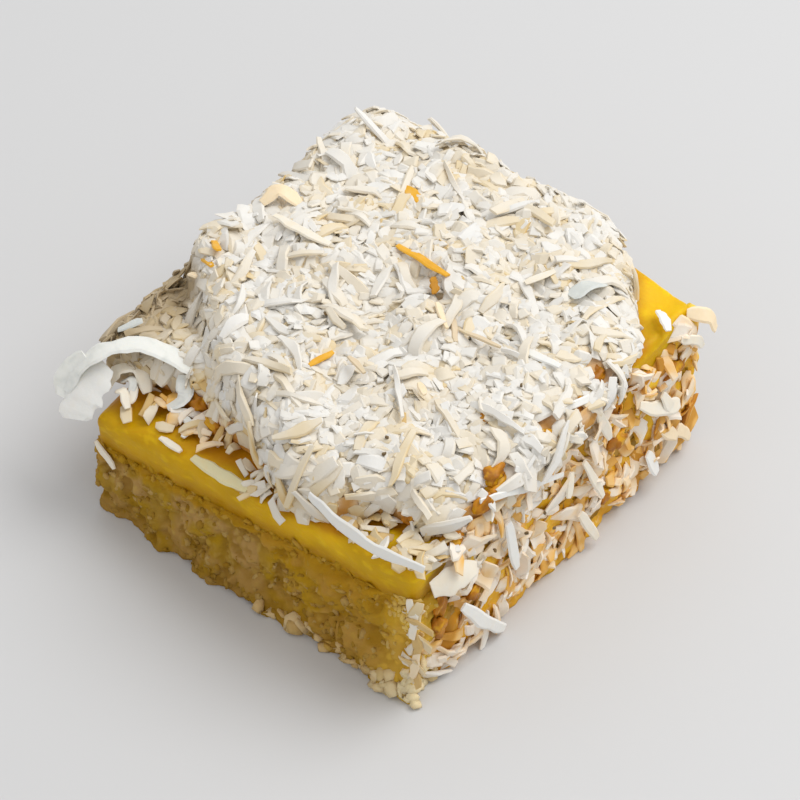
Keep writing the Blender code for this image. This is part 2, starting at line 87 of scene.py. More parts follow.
BASE_POINTS, BASE_LEVELS = 640, 54
WAVE_SIZE, WAVE_RELIEF = 13 * MM, 0.6 * MM
LUMP_SIZE, LUMP_RELIEF = 3.8 * MM, 1.1 * MM
GRAIN_SIZE, GRAIN_RELIEF = 1.4 * MM, 0.45 * MM
DUST_SIZE, DUST_RELIEF = 0.6 * MM, 0.2 * MM
PIT_SIZE, PIT_DEPTH = 3 * MM, 0.8 * MM
FURTHEST_OUT, FOOT_FLARE = 1.2 * MM, 1.8 * MM
FRONT_BAND = 4 * MM

CRUMB_SIDES = 6
# How near the plate a shape comes before it is bent up, so as not to reach below it.
LANDING = 0.5 * MM


def mix(a, b, share):
    return a + (b - a) * share


def smooth_step(value, low, high):
    share = min(max((value - low) / (high - low), 0), 1)
    return share * share * (3 - 2 * share)


def base_top(x, y):
    across = (x - LEFT) / (RIGHT - LEFT)
    along = (y - FRONT) / (BACK - FRONT)
    front = mix(BASE_LEFT_FRONT, BASE_RIGHT_FRONT, across)
    back = mix(BASE_LEFT_BACK, BASE_RIGHT_BACK, across)
    return mix(front, back, along)


def evenly_spaced(loop, count):
    """Count points at equal steps round a closed loop."""
    lengths = [(loop[(i + 1) % len(loop)] - p).length for i, p in enumerate(loop)]
    total = sum(lengths)
    points = []
    index, passed = 0, 0.0
    for i in range(count):
        wanted = total * i / count
        while passed + lengths[index] < wanted:
            passed += lengths[index]
            index += 1
        here, after = loop[index], loop[(index + 1) % len(loop)]
        points.append(here.lerp(after, (wanted - passed) / lengths[index]))
    return points


def rounded_rectangle(left, right, front, back, radius, count):
    """The plan of a slab with round corners, anticlockwise from its front right corner."""
    arcs = (
        (right - radius, front + radius, -90),
        (right - radius, back - radius, 0),
        (left + radius, back - radius, 90),
        (left + radius, front + radius, 180),
    )
    loop = []
    for centre_x, centre_y, start in arcs:
        for step in range(CORNER_STEPS + 1):
            angle = math.radians(start + 90 * step / CORNER_STEPS)
            loop.append(Vector((centre_x + radius * math.cos(angle), centre_y + radius * math.sin(angle))))
    return evenly_spaced(loop, count)


def outward(loop):
    """The direction that each point of an anticlockwise loop faces."""
    found = []
    for i in range(len(loop)):
        along = loop[(i + 1) % len(loop)] - loop[i - 1]
        found.append(Vector((along.y, -along.x)).normalized())
    return found


def raised(p, height):
    """A point of the plan at the height that the function gives there."""
    return Vector((p.x, p.y, height(p.x, p.y)))


def inset_ring(loop, facing, inset, height):
    """The loop moved inwards by a distance, each point at the height that the function gives there."""
    return [raised(p - n * inset, height) for p, n in zip(loop, facing)]


def shrunk_ring(loop, centre, share, height):
    return [raised(centre + (p - centre) * share, height) for p in loop]


def lumps(point, size):
    """Rounded grains with creases between them: near 1 on a grain's crown and below 0 in a crease."""
    return 1 - 1.7 * noise.voronoi(point / size)[0][0]


def linked(name, data):
    obj = bpy.data.objects.new(name, data)
    bpy.context.scene.collection.objects.link(obj)
    return obj


def plain_mesh(name, bm):
    mesh = bpy.data.meshes.new(name)
    bm.to_mesh(mesh)
    bm.free()
    return mesh


def finished_mesh(name, bm):
    bmesh.ops.recalc_face_normals(bm, faces=bm.faces)
    mesh = plain_mesh(name, bm)
    mesh.shade_smooth()
    return mesh


def loft(name, rings, first_centre, last_centre):
    """A closed skin through rings of points, with a fan of faces at each end."""
    bm = bmesh.new()
    rows = [[bm.verts.new(p) for p in ring] for ring in rings]
    count = len(rows[0])
    for low, high in zip(rows, rows[1:]):
        for i in range(count):
            j = (i + 1) % count
            bm.faces.new((low[i], low[j], high[j], high[i]))
    first, last = bm.verts.new(first_centre), bm.verts.new(last_centre)
    for i in range(count):
        j = (i + 1) % count
        bm.faces.new((first, rows[0][j], rows[0][i]))
        bm.faces.new((last, rows[-1][i], rows[-1][j]))
    return linked(name, finished_mesh(name, bm))


def give_values(obj, name, value):
    """Stores a number on every point, worked out from where the point is and which way it faces."""
    mesh = obj.data
    values = [value(v.co, v.normal) for v in mesh.vertices]
    layer = mesh.attributes.get(name) or mesh.attributes.new(name, "FLOAT", "POINT")
    layer.data.foreach_set("value", values)


def put_in_frame(obj, slot, *nodes):
    """Moves a finished piece from the bar's plan to the frame, where it rides with the bar."""
    obj.data.transform(Matrix.Translation(SHIFT))
    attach(obj, "root")
    if nodes:
        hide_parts(*nodes)


class Wire:
    """The output of a node. Operators on wires and numbers add Math nodes to their tree."""

    def __init__(self, tree, socket):
        self.tree = tree
        self.socket = socket

    def node(self, kind, settings=None, inputs=None, output=0):
        """Adds a node of any type: its settings come first, then the values or wires of its sockets."""
        made = self.tree.nodes.new(kind)
        for name, value in (settings or {}).items():
            setattr(made, name, value)
        for name, value in (inputs or {}).items():
            connect(self.tree, value, made.inputs[name])
        return Wire(self.tree, made.outputs[output])

    def maths(self, operation, a, b=0.0):
        return self.node("ShaderNodeMath", {"operation": operation}, {0: a, 1: b})

    def vector_maths(self, operation, other):
        socket = "Scale" if operation == "SCALE" else 1
        return self.node("ShaderNodeVectorMath", {"operation": operation}, {0: self, socket: other})

    def axis(self, index):
        return self.node("ShaderNodeSeparateXYZ", {}, {"Vector": self}, index)

    def __add__(self, other):
        return self.maths("ADD", self, other)

    def __radd__(self, other):
        return self.maths("ADD", other, self)

    def __sub__(self, other):
        return self.maths("SUBTRACT", self, other)

    def __rsub__(self, other):
        return self.maths("SUBTRACT", other, self)

    def __mul__(self, other):
        return self.maths("MULTIPLY", self, other)

    def __rmul__(self, other):
        return self.maths("MULTIPLY", other, self)

    def between(self, low, high):
        """0 where the value is below low, 1 above high, and smooth in between."""
        settings = {"interpolation_type": "SMOOTHSTEP"}
        return self.node("ShaderNodeMapRange", settings, {"Value": self, "From Min": low, "From Max": high})

    def blend(self, a, b):
        """Colour a where this mask is 0, and colour b where it is 1."""
        return self.node("ShaderNodeMix", {"data_type": "RGBA"}, {"Factor": self, 6: a, 7: b}, 2)

    def ramp(self, *stops):
        """The colour at this value, between stops that are each a place and a colour."""
        made = self.node("ShaderNodeValToRGB", {}, {"Fac": self})
        elements = made.socket.node.color_ramp.elements
        while len(elements) < len(stops):
            elements.new(1)
        for element, (place, colour) in zip(elements, stops):
            element.position = place
            element.color = (*colour, 1)
        return made


def connect(tree, value, socket):
    if isinstance(value, Wire):
        tree.links.new(value.socket, socket)
    elif isinstance(value, tuple) and socket.type == "RGBA":
        socket.default_value = (*value, 1)
    else:
        socket.default_value = value


def new_finish(name, weight, radius, specular, scale=1 * MM):
    """A material with its shader's constants set, and a wire of Object coordinates to start patterns from."""
    material = bpy.data.materials.new(name)
    material.use_nodes = True
    tree = material.node_tree
    constants = {
        "Subsurface Weight": weight,
        "Subsurface Scale": scale,
        "Subsurface Radius": radius,
        "Specular IOR Level": specular,
    }
    for socket, value in constants.items():
        tree.nodes["Principled BSDF"].inputs[socket].default_value = value
    return material, Wire(tree, tree.nodes.new("ShaderNodeTexCoord").outputs["Object"])


def speckle(place, size, detail=2.0, roughness=0.5):
    """Soft noise from 0 to 1, whose blotches are about the given size."""
    inputs = {"Vector": place, "Scale": 1 / size, "Detail": detail, "Roughness": roughness}
    return place.node("ShaderNodeTexNoise", {}, inputs)


def cells(place, size):
    """Distance from the middle of each of many rounded cells, 0 at the middle and near 1 at the borders."""
    return place.node("ShaderNodeTexVoronoi", {"feature": "F1"}, {"Vector": place, "Scale": 1 / size})


def stored(place, name):
    return place.node("ShaderNodeAttribute", {"attribute_name": name}, {}, 2)


def bumps(place, height, distance, strength=1.0):
    inputs = {"Height": height, "Distance": distance, "Strength": strength}
    return place.node("ShaderNodeBump", {}, inputs)


def finish_surface(material, colour, roughness, normal):
    tree = material.node_tree
    for socket, wire in (("Base Color", colour), ("Roughness", roughness), ("Normal", normal)):
        connect(tree, wire, tree.nodes["Principled BSDF"].inputs[socket])
    return material


def towards_near_corner(place):
    """A mask that is 1 at the near corner, where the crumb is paler and has taken up curd."""
    return place.axis(0).between(21 * MM, 29 * MM) * place.axis(1).between(-23 * MM, -31 * MM)


def crumb_finish():
    """Baked dough, golden with pinkish and paler grains, amber under the curd; painted shade in pits and low
    down.
    """
    material, place = new_finish("baked_crumb", weight=0.1, radius=(1.0, 0.6, 0.2), specular=0.1)
    dough, golden, pit = (0.37, 0.22, 0.03), (0.41, 0.24, 0.01), (0.28, 0.145, 0.01)
    pinkish, pale, amber = (0.44, 0.265, 0.09), (0.50, 0.33, 0.08), (0.50, 0.26, 0.012)
    under_curd, stained = (0.45, 0.23, 0.005), (0.80, 0.50, 0.06)
    grain = cells(place, 1.3 * MM)
    colour = speckle(place, 6 * MM).between(0.45, 0.62).blend(dough, golden)
    colour = (speckle(place, 5 * MM, 1.0).between(0.44, 0.58) * 0.9).blend(colour, pinkish)
    # Painted shade: the pit colour darkens the creases and pits between grains.
    colour = (stored(place, "crown").between(0.35, 0.0) * 0.6).blend(colour, pit)
    pale_grain = (1 - grain).between(0.45, 0.75) * speckle(place, 2.6 * MM).between(0.42, 0.6)
    colour = (pale_grain * 0.6).blend(colour, pale)
    colour = (place.axis(0).between(-4 * MM, 20 * MM) * 0.4).blend(colour, amber)
    colour = (stored(place, "soaked") * 0.8).blend(colour, under_curd)
    # Painted shade: darker towards the plate, where the foot lies in shade.
    colour = (place.axis(2).between(7 * MM, 0.5 * MM) * 0.6).blend(colour, pit)
    colour = (towards_near_corner(place) * (0.5 + 0.5 * pale_grain)).blend(colour, stained)
    height = (1 - grain) * 0.6 + speckle(place, 0.4 * MM, 3.0) * 0.5
    return finish_surface(material, colour, 0.78 + grain * 0.15, bumps(place, height, 0.25 * MM, 0.6))


def loose_crumb_finish():
    """The same dough in single crumbs, each its own tone of it, with painted shade low down by the plate."""
    material, place = new_finish("loose_crumb", weight=0.1, radius=(1.0, 0.65, 0.3), specular=0.12)
    colour = stored(place, "tint").ramp(
        (0.0, (0.31, 0.165, 0.012)),
        (0.35, (0.37, 0.21, 0.025)),
        (0.7, (0.42, 0.25, 0.06)),
        (1.0, (0.50, 0.33, 0.11)),
    )
    colour = (stored(place, "soaked") * 0.6).blend(colour, (0.50, 0.28, 0.01))
    # Painted shade: the crumbs darken towards the plate.
    colour = (place.axis(2).between(6 * MM, 0.5 * MM) * 0.5).blend(colour, (0.26, 0.14, 0.01))
    colour = (towards_near_corner(place) * 0.8).blend(colour, (0.88, 0.62, 0.18))
    height = speckle(place, 0.3 * MM, 3.0)
    return finish_surface(material, colour, 0.7 + height * 0.2, bumps(place, height, 0.12 * MM, 0.7))


def foot_crumb_finish():
    """Lumps of dough and coconut that browned a little on the tin's floor: pinkish, peach and cream."""
    material, place = new_finish("foot_crumb", weight=0.1, radius=(1.0, 0.65, 0.4), specular=0.15)
    colour = stored(place, "tint").ramp(
        (0.0, (0.48, 0.29, 0.05)),
        (0.4, (0.54, 0.35, 0.12)),
        (0.75, (0.60, 0.42, 0.19)),
        (1.0, (0.70, 0.53, 0.29)),
    )
    colour = (towards_near_corner(place) * 0.75).blend(colour, (0.86, 0.74, 0.48))
    height = speckle(place, 0.5 * MM, 3.0)
    return finish_surface(material, colour, 0.65 + height * 0.2, bumps(place, height, 0.15 * MM, 0.7))


def base_lump(at, facing, share):
    """How far the cut face stands out at a point, and how much of a crown the point is."""
    coarse = lumps(at, LUMP_SIZE)
    out = LUMP_RELIEF * (coarse - 0.1) + WAVE_RELIEF * noise.noise(at / WAVE_SIZE)
    out = min(out, 0.9 * MM) - 0.25 * MM * max(0, 1 - share * 6)
    flare = 0
    if facing.y < -0.5:
        flare = FOOT_FLARE * max(0, 1 - share * 2.5) * smooth_step(at.x, -32 * MM, -14 * MM)
    out += flare
    fine = lumps(at, GRAIN_SIZE)
    out += GRAIN_RELIEF * (fine - 0.1) + DUST_RELIEF * noise.noise(at / DUST_SIZE)
    pit = smooth_step(noise.noise(at / PIT_SIZE + Vector((7, 3, 5))), 0.22, 0.5)
    out -= PIT_DEPTH * pit
    if facing.x > 0.8 and at.y > FRONT + FRONT_BAND:
        out = min(out, 0) * 0.3 - 0.1 * MM
    return min(out, FURTHEST_OUT + flare), min(max(0.25 + 0.35 * coarse + 0.35 * fine - pit, 0), 1)


def make_base():
    loop = rounded_rectangle(LEFT, BODY_RIGHT, FRONT, BACK, CORNER_RADIUS, BASE_POINTS)
    facing = outward(loop)
    centre = Vector(((LEFT + BODY_RIGHT) / 2, (FRONT + BACK) / 2))
    foot, crowns = [], []
    for p, n in zip(loop, facing):
        out, crown = base_lump(p.to_3d(), n, 0)
        foot.append(p.to_3d() + n.to_3d() * (out - 0.15 * MM))
        crowns.append(crown)
    rings = [foot]
    for level in range(BASE_LEVELS):
        share = (level + 0.5) / BASE_LEVELS
        ring = []
        for p, n in zip(loop, facing):
            at = Vector((p.x, p.y, share * base_top(p.x, p.y)))
            out, crown = base_lump(at, n, share)
            ring.append(at + n.to_3d() * out)
            crowns.append(crown)
        rings.append(ring)
    rings.append(inset_ring(loop, facing, 1.2 * MM, base_top))
    rings.append(shrunk_ring(loop, centre, 0.5, base_top))
    base = loft("baked_base", rings, centre.to_3d(), raised(centre, base_top))
    crowns += [0.5] * (len(base.data.vertices) - len(crowns))
    base.data.attributes.new("crown", "FLOAT", "POINT").data.foreach_set("value", crowns)
    base.data.materials.append(crumb_finish())
    return base


def soaked(co, facing):
    """How much curd the dough has taken up, just under the layer of curd."""
    uneven = 1.6 * MM * noise.noise(co / (4 * MM))
    reach = mix(2.4 * MM, 6.5 * MM, smooth_step(co.x, -10 * MM, 18 * MM))
    return smooth_step(co.z + uneven - base_top(co.x, co.y), -reach, -0.4 * MM)


def scatter_tree(name):
    """Strews shapes over a surface. Each gets its own turn, size and tint, and is bent a little by noise.

    What would reach below the plate is bent up softly, so that it lies on the plate.
    """
    tree = bpy.data.node_groups.new(name, "GeometryNodeTree")
    sockets = {
        "Geometry": "Geometry",
        "Density": "Float",
        "Seed": "Int",
        "Shapes": "Collection",
        "Smallest": "Vector",
        "Largest": "Vector",
        "Turned Least": "Vector",
        "Turned Most": "Vector",
        "Lift Least": "Float",
        "Lift Most": "Float",
        "Bend": "Float",
        "Bend Size": "Float",
        "Finish": "Material",
    }
    for label, kind in sockets.items():
        tree.interface.new_socket(label, in_out="INPUT", socket_type=f"NodeSocket{kind}")
    tree.interface.new_socket("Geometry", in_out="OUTPUT", socket_type="NodeSocketGeometry")
    entry = tree.nodes.new("NodeGroupInput")
    take = {label: Wire(tree, entry.outputs[label]) for label in sockets}
    surface = take["Geometry"]
    add = surface.node

    def chance(kind, low, high, salt):
        first = {"FLOAT_VECTOR": 0, "FLOAT": 2, "INT": 4}[kind]
        inputs = {first: low, first + 1: high, "Seed": take["Seed"] + salt}
        return add("FunctionNodeRandomValue", {"data_type": kind}, inputs, first // 2)

    cover = add("GeometryNodeInputNamedAttribute", {"data_type": "FLOAT"}, {"Name": "cover"})
    inputs = {"Mesh": surface, "Density": take["Density"] * cover, "Seed": take["Seed"]}
    points = add("GeometryNodeDistributePointsOnFaces", {"distribute_method": "RANDOM"}, inputs)
    facing = Wire(tree, points.socket.node.outputs["Normal"])
    upright = add("FunctionNodeAlignRotationToVector", {"axis": "Z"}, {"Vector": facing})
    angles = chance("FLOAT_VECTOR", take["Turned Least"], take["Turned Most"], 1)
    inputs = {"Rotation": upright, "Rotate By": add("FunctionNodeEulerToRotation", {}, {"Euler": angles})}
    turn = add("FunctionNodeRotateRotation", {"rotation_space": "LOCAL"}, inputs)
    inputs = {"Collection": take["Shapes"], "Separate Children": True, "Reset Children": True}
    shapes = add("GeometryNodeCollectionInfo", {}, inputs)
    inputs = {
        "Points": points,
        "Instance": shapes,
        "Pick Instance": True,
        "Instance Index": chance("INT", 0, 1000, 2),
        "Rotation": turn,
        "Scale": chance("FLOAT_VECTOR", take["Smallest"], take["Largest"], 3),
    }
    copies = add("GeometryNodeInstanceOnPoints", {}, inputs)
    stance = add("GeometryNodeInputInstanceRotation")
    up = add("FunctionNodeRotateVector", {}, {"Vector": (0, 0, 1), "Rotation": stance})
    rise = chance("FLOAT", 0.0, 1.0, 4)
    lift = take["Lift Least"] + (take["Lift Most"] - take["Lift Least"]) * rise
    inputs = {"Instances": copies, "Translation": up.vector_maths("SCALE", lift), "Local Space": False}
    copies = add("GeometryNodeTranslateInstances", {}, inputs)
    for label, value in (("rise", rise), ("tint", chance("FLOAT", 0.0, 1.0, 5))):
        settings = {"data_type": "FLOAT", "domain": "INSTANCE"}
        inputs = {"Geometry": copies, "Name": label, "Value": value}
        copies = add("GeometryNodeStoreNamedAttribute", settings, inputs)
    real = add("GeometryNodeRealizeInstances", {}, {"Geometry": copies})
    where = add("GeometryNodeInputPosition")
    wave_place = where.vector_maths("DIVIDE", take["Bend Size"])
    wave = add("ShaderNodeTexNoise", {}, {"Vector": wave_place, "Scale": 1.0, "Detail": 1.0}, 1)
    wave = wave.vector_maths("SUBTRACT", (0.5, 0.5, 0.5)).vector_maths("SCALE", take["Bend"])
    bent = where.vector_maths("ADD", wave)
    z = bent.axis(2)
    landed = (z + z.maths("SQRT", z * z + LANDING**2)) * 0.5
    bent = add("ShaderNodeCombineXYZ", {}, {"X": bent.axis(0), "Y": bent.axis(1), "Z": landed})
    real = add("GeometryNodeSetPosition", {}, {"Geometry": real, "Position": bent})
    real = add("GeometryNodeSetMaterial", {}, {"Geometry": real, "Material": take["Finish"]})
    leave = tree.nodes.new("NodeGroupOutput")
    tree.links.new(real.socket, leave.inputs["Geometry"])
    return tree


STREW = scatter_tree("strew")


def strewn(name, surface, shapes, finish, density, seed, sizes, tilt, lift, bend, unit=1.0):
    """Runs the strewing tree on a copy of a surface, and returns the plain mesh that it makes as an object.

    Density is per square millimetre. Sizes are the smallest and the largest, in units. A shape turns by up to
    the tilt either way. Lift is the least and the most, and bend is how far and in waves of which length,
    both in millimetres.
    """
    values = {
        "Density": density / MM**2,
        "Seed": seed,
        "Shapes": shapes,
        "Smallest": tuple(size * unit for size in sizes[0]),
        "Largest": tuple(size * unit for size in sizes[1]),
        "Turned Least": tuple(-angle for angle in tilt),
        "Turned Most": tilt,
        "Lift Least": lift[0] * MM,
        "Lift Most": lift[1] * MM,
        "Bend": bend[0] * MM,
        "Bend Size": bend[1] * MM,
        "Finish": finish,
    }
    carrier = linked(name, surface.data.copy())
    modifier = carrier.modifiers.new("strew", "NODES")
    modifier.node_group = STREW
    for item in STREW.interface.items_tree:
        if item.in_out == "INPUT" and item.name in values:
            modifier[item.identifier] = values[item.name]
    depsgraph = bpy.context.evaluated_depsgraph_get()
    made = bpy.data.meshes.new_from_object(carrier.evaluated_get(depsgraph), depsgraph=depsgraph)
    carrier.modifiers.clear()
    carrier.data = made
    return carrier


def shape_set(name, meshes):
    """A collection of small shapes for the strewing tree to choose from. It is never shown itself."""
    collection = bpy.data.collections.new(name)
    for i, mesh in enumerate(meshes):
        collection.objects.link(bpy.data.objects.new(f"{name}_{i}", mesh))
    return collection


def drop_shapes(collection):
    for obj in list(collection.objects):
        bpy.data.objects.remove(obj)
    bpy.data.collections.remove(collection)


def crumb_shape(rng):
    """An uneven lump about one unit across: two rings of points between two poles."""
    bm = bmesh.new()
    poles = [bm.verts.new((0, 0, side * rng.uniform(0.36, 0.5))) for side in (-1, 1)]
    rings = []
    for height in (-0.22, 0.22):
        ring = []
        for i in range(CRUMB_SIDES):
            angle = math.tau * (i + rng.uniform(-0.25, 0.25)) / CRUMB_SIDES
            reach = rng.uniform(0.32, 0.52)
            level = height + rng.uniform(-0.08, 0.08)
            ring.append(bm.verts.new((reach * math.cos(angle), reach * math.sin(angle), level)))
        rings.append(ring)
    for i in range(CRUMB_SIDES):
        j = (i + 1) % CRUMB_SIDES
        bm.faces.new((poles[0], rings[0][j], rings[0][i]))
        bm.faces.new((rings[0][i], rings[0][j], rings[1][j], rings[1][i]))
        bm.faces.new((poles[1], rings[1][i], rings[1][j]))
    return finished_mesh("crumb", bm)


def crumb_set(name, seed, count):
    return shape_set(name, [crumb_shape(random.Random(seed + i)) for i in range(count)])


def foot_cover(co, facing):
    """Where the larger, paler lumps hang at the foot: towards the near corner, and highest there."""
    height = mix(2.4 * MM, 5.5 * MM, smooth_step(co.x, 16 * MM, 27 * MM))
    if facing.y > -0.3 and facing.x < 0.3 or co.y > FRONT + FRONT_BAND or abs(facing.z) > 0.9:
        return 0.0
    return smooth_step(co.z, height, 0.5 * height) * smooth_step(co.x, 1 * MM, 8 * MM)


base = make_base()
give_values(base, "cover", lambda co, n: 1.0 if abs(n.z) < 0.9 and co.z < base_top(co.x, co.y) else 0.0)
give_values(base, "soaked", soaked)
crumb_shapes = crumb_set("crumb_shapes", 20, 5)
crumb_colours = loose_crumb_finish()
crumbs = strewn(
    "clinging_crumbs", base, crumb_shapes, crumb_colours, density=0.55, seed=3, unit=MM,
    sizes=((0.7, 0.7, 0.5), (2.2, 1.7, 1.1)), tilt=(0.5, 0.5, math.pi), lift=(-0.55, -0.1), bend=(0.5, 1),
)
foot = linked("foot", base.data.copy())
give_values(foot, "cover", foot_cover)
foot_crumbs = strewn(
    "foot_crumbs", foot, crumb_shapes, foot_crumb_finish(), density=1.0, seed=4, unit=MM,
    sizes=((1.3, 1.1, 0.8), (3.8, 2.8, 2.0)), tilt=(0.7, 0.7, math.pi), lift=(-0.5, 0.3), bend=(1.4, 1.5),
)
bpy.data.objects.remove(foot)
drop_shapes(crumb_shapes)
put_in_frame(foot_crumbs, "baked_base")
put_in_frame(base, "baked_base", "baked_base")
put_in_frame(crumbs, "baked_base")


# The lemon curd
# Lemon juice, eggs and sugar, poured over the hot base and baked until just set. It is moist and a little
# clear. The knife drew its cut face smooth, and left it slumped by a hair over the crumb below.

CURD_THICKNESS = 5.8 * MM
CURD_POINTS, CURD_SIDE_LEVELS, CURD_TOP_RINGS = 420, 20, 30
CURD_SINK, CURD_WELL = 0.6 * MM, 2.6 * MM
SWELL_SIZE, RIPPLE_SIZE = 5 * MM, 1.7 * MM
SMEAR_SIZES = 8 * MM, 2.4 * MM, 0.8 * MM


def curd_top(x, y):
    return base_top(x, y) + LAYER_GAP + CURD_THICKNESS


def curd_finish():
    """Moist clear yellow, amber at its foot; painted shade at the left and by the heap, painted light at the
    right.
    """
    material, place = new_finish(
        "lemon_curd", weight=0.35, radius=(1.0, 0.62, 0.08), specular=0.15, scale=2.2 * MM
    )
    clear, deep, milky_and_lit = (0.79, 0.465, 0.003), (0.57, 0.32, 0.002), (0.90, 0.62, 0.01)
    smear = speckle(place.vector_maths("MULTIPLY", (1, 1, 2.2)), 2.4 * MM)
    across = place.axis(0)
    colour = speckle(place, 8 * MM, 1.0).between(0.38, 0.62).blend(clear, deep)
    # Painted shade: deeper towards the left, which lies in the heap's shade.
    colour = (across.between(20 * MM, -6 * MM) * 0.65).blend(colour, deep)
    # Milky smears, and a painted lighter tint towards the lit right side.
    colour = (smear.between(0.50, 0.70) * 0.3 + across.between(8 * MM, 20 * MM) * 0.1).blend(colour, milky_and_lit)
    colour = (stored(place, "soaked") * 0.9).blend(colour, (0.42, 0.20, 0.002))
    # Painted shade: the curd turns dark amber under and beside the heap.
    colour = (stored(place, "heap_shade") * 0.85).blend(colour, (0.50, 0.20, 0.004))
    height = smear * 0.7 + speckle(place, 0.7 * MM, 2.0) * 0.3
    return finish_surface(material, colour, 0.38 + smear * 0.2, bumps(place, height, 0.4 * MM, 0.4))


def make_curd():
    loop = rounded_rectangle(LEFT, BODY_RIGHT, FRONT, BACK, CORNER_RADIUS, CURD_POINTS)
    facing = outward(loop)
    centre = Vector(((LEFT + BODY_RIGHT) / 2, (FRONT + BACK) / 2))

    def underside(x, y):
        return base_top(x, y) + LAYER_GAP - CURD_SINK

    def wavy_top(x, y):
        wave = noise.noise(Vector((x, y, 3)) / SWELL_SIZE) * 0.28
        wave += noise.noise(Vector((x, y, 9)) / RIPPLE_SIZE) * 0.08
        welled_up = CURD_WELL * smooth_step(x, 26 * MM, 15 * MM) * smooth_step(y, 14 * MM, 28 * MM)
        return curd_top(x, y) + wave * MM + welled_up

    rings = [shrunk_ring(loop, centre, 0.5, underside), inset_ring(loop, facing, 1.4 * MM, underside)]
    for level in range(CURD_SIDE_LEVELS):
        share = (level + 0.5) / CURD_SIDE_LEVELS
        rounding = 1.5 * (1 - math.sqrt(1 - max(0, (share - 0.7) / 0.3) ** 2))
        rounding += 0.35 * max(0, 0.3 - share) / 0.3
        ring = []
        for p, n in zip(loop, facing):
            thickness = wavy_top(p.x, p.y) - underside(p.x, p.y)
            at = Vector((p.x, p.y, underside(p.x, p.y) + share * thickness))
            broad, middling, fine = (noise.noise(at / size) for size in SMEAR_SIZES)
            wave = 0.4 * broad + 0.26 * middling + 0.07 * fine
            drawn_in = (0.1 + rounding + wave) * MM
            if n.x > 0.8:
                drawn_in = max(drawn_in, 0.1 * MM)
            ring.append(at - n.to_3d() * drawn_in)
        rings.append(ring)
    for i in range(CURD_TOP_RINGS):
        rings.append(shrunk_ring(loop, centre, 0.945 - 0.021 * i, wavy_top))
    curd = loft("lemon_curd", rings, raised(centre, underside), raised(centre, wavy_top))
    curd.data.materials.append(curd_finish())
    return curd


def joint_cover(co, facing):
    """Where crumbs are pressed into the curd: along its foot."""
    return smooth_step(co.z - base_top(co.x, co.y), 0.8 * MM, 0) if facing.z < 0.5 else 0


curd = make_curd()
give_values(curd, "soaked", lambda co, n: smooth_step(co.z - base_top(co.x, co.y), 3.6 * MM, 0.4 * MM))
give_values(curd, "cover", joint_cover)
joint_shapes = crumb_set("joint_shapes", 80, 4)
joint_crumbs = strewn(
    "joint_crumbs", curd, joint_shapes, crumb_colours, density=0.5, seed=21, unit=MM,
    sizes=((1.0, 0.9, 0.4), (3.0, 2.2, 0.9)), tilt=(0.4, 0.4, math.pi), lift=(-0.3, 0), bend=(0.6, 1.5),
)
drop_shapes(joint_shapes)
put_in_frame(curd, "lemon_curd", "lemon_curd")
put_in_frame(joint_crumbs, "baked_base")


# The toasted edge
# Coconut that lay against the hot side of the tin. Its flakes stand flat against the bar, baked on by sticky
# brown sugar, and run from nearly white through tan to a few that are dark brown.

EDGE_OUTER = 28.5 * MM
EDGE_FRONT = FRONT + 2 * MM
PACKED_SIZE, PACKED_RELIEF = 5 * MM, 1.2 * MM
KNOB_SIZE, KNOB_RELIEF = 1.9 * MM, 0.35 * MM
HOLLOW_DEPTH, DEEPEST = 1.5 * MM, 1.7 * MM
EDGE_COLUMNS, EDGE_ROWS = 190, 80
FLAKE_CREASE = math.radians(24)


def edge_height(y):
    worn = 1.3 * abs(noise.noise(Vector((0, y, 0)) / (5 * MM)))
    worn += 2.4 * smooth_step(y, 12 * MM, 17 * MM) * (1 - smooth_step(y, 24 * MM, 28 * MM))
    return curd_top(EDGE_OUTER, y) - (0.4 + worn) * MM


def edge_face(y, share):
    """A point of the crust's outer face, from the plate at share 0 to its top at share 1."""
    z = edge_height(y) * share
    at = Vector((EDGE_OUTER, y, z))
    bulge = PACKED_RELIEF * (lumps(at, PACKED_SIZE) - 0.5) + KNOB_RELIEF * (lumps(at, KNOB_SIZE) - 0.3)
    bulge -= HOLLOW_DEPTH * hollow(y, z)
    thick = smooth_step(y, EDGE_FRONT, EDGE_FRONT + 3 * MM)
    return Vector((mix(BODY_RIGHT - 0.8 * MM, EDGE_OUTER + max(bulge, -DEEPEST), thick), y, z))


# Hollows between the flakes, in mm: middle along y and up z, reach along each, and how brown they are.
HOLLOWS = [
    (-25.7, 12, 1.9, 6.5, 1.15), (-26.5, 19, 1.6, 2, 0.3), (-15.1, 24.4, 3.4, 1.5, 0.3),
    (-23, 25, 1.4, 1.2, 0), (13.8, 20.2, 1.2, 3.6, 0.45), (12.6, 13.7, 2.2, 1.8, 0.5),
    (2.4, 20.6, 1.6, 1.8, 0.4), (17, 9.2, 1.5, 2.6, 0.35), (0, 12.5, 2.2, 3, 0.35),
    (29, 14.3, 2, 1.8, 0.3), (-10.5, 9, 1.6, 2, 0.25), (8, 2.5, 2, 1.5, 0.4),
    (-18.4, 8.4, 1.6, 1.8, 0.6), (22, 22.5, 2.4, 1.4, 0.55),
]


def from_hollows(y, z):
    """For each hollow, how many of its reaches away a place is, squared, and how brown the hollow is."""
    for at_y, at_z, reach_y, reach_z, brown in HOLLOWS:
        yield ((y / MM - at_y) / reach_y) ** 2 + ((z / MM - at_z) / reach_z) ** 2, brown


def hollow(y, z):
    """How much of a hollow a place on the crust is."""
    return max(math.exp(-away) for away, _ in from_hollows(y, z))


def browned(y, z):
    """How brown the crust is at a place: by its hollow, and more so down by the hot tin."""
    tone = 0.45 - 0.4 * z / edge_height(y)
    for away, brown in from_hollows(y, z):
        tone = mix(tone, brown, math.exp(-0.5 * away))
    return tone


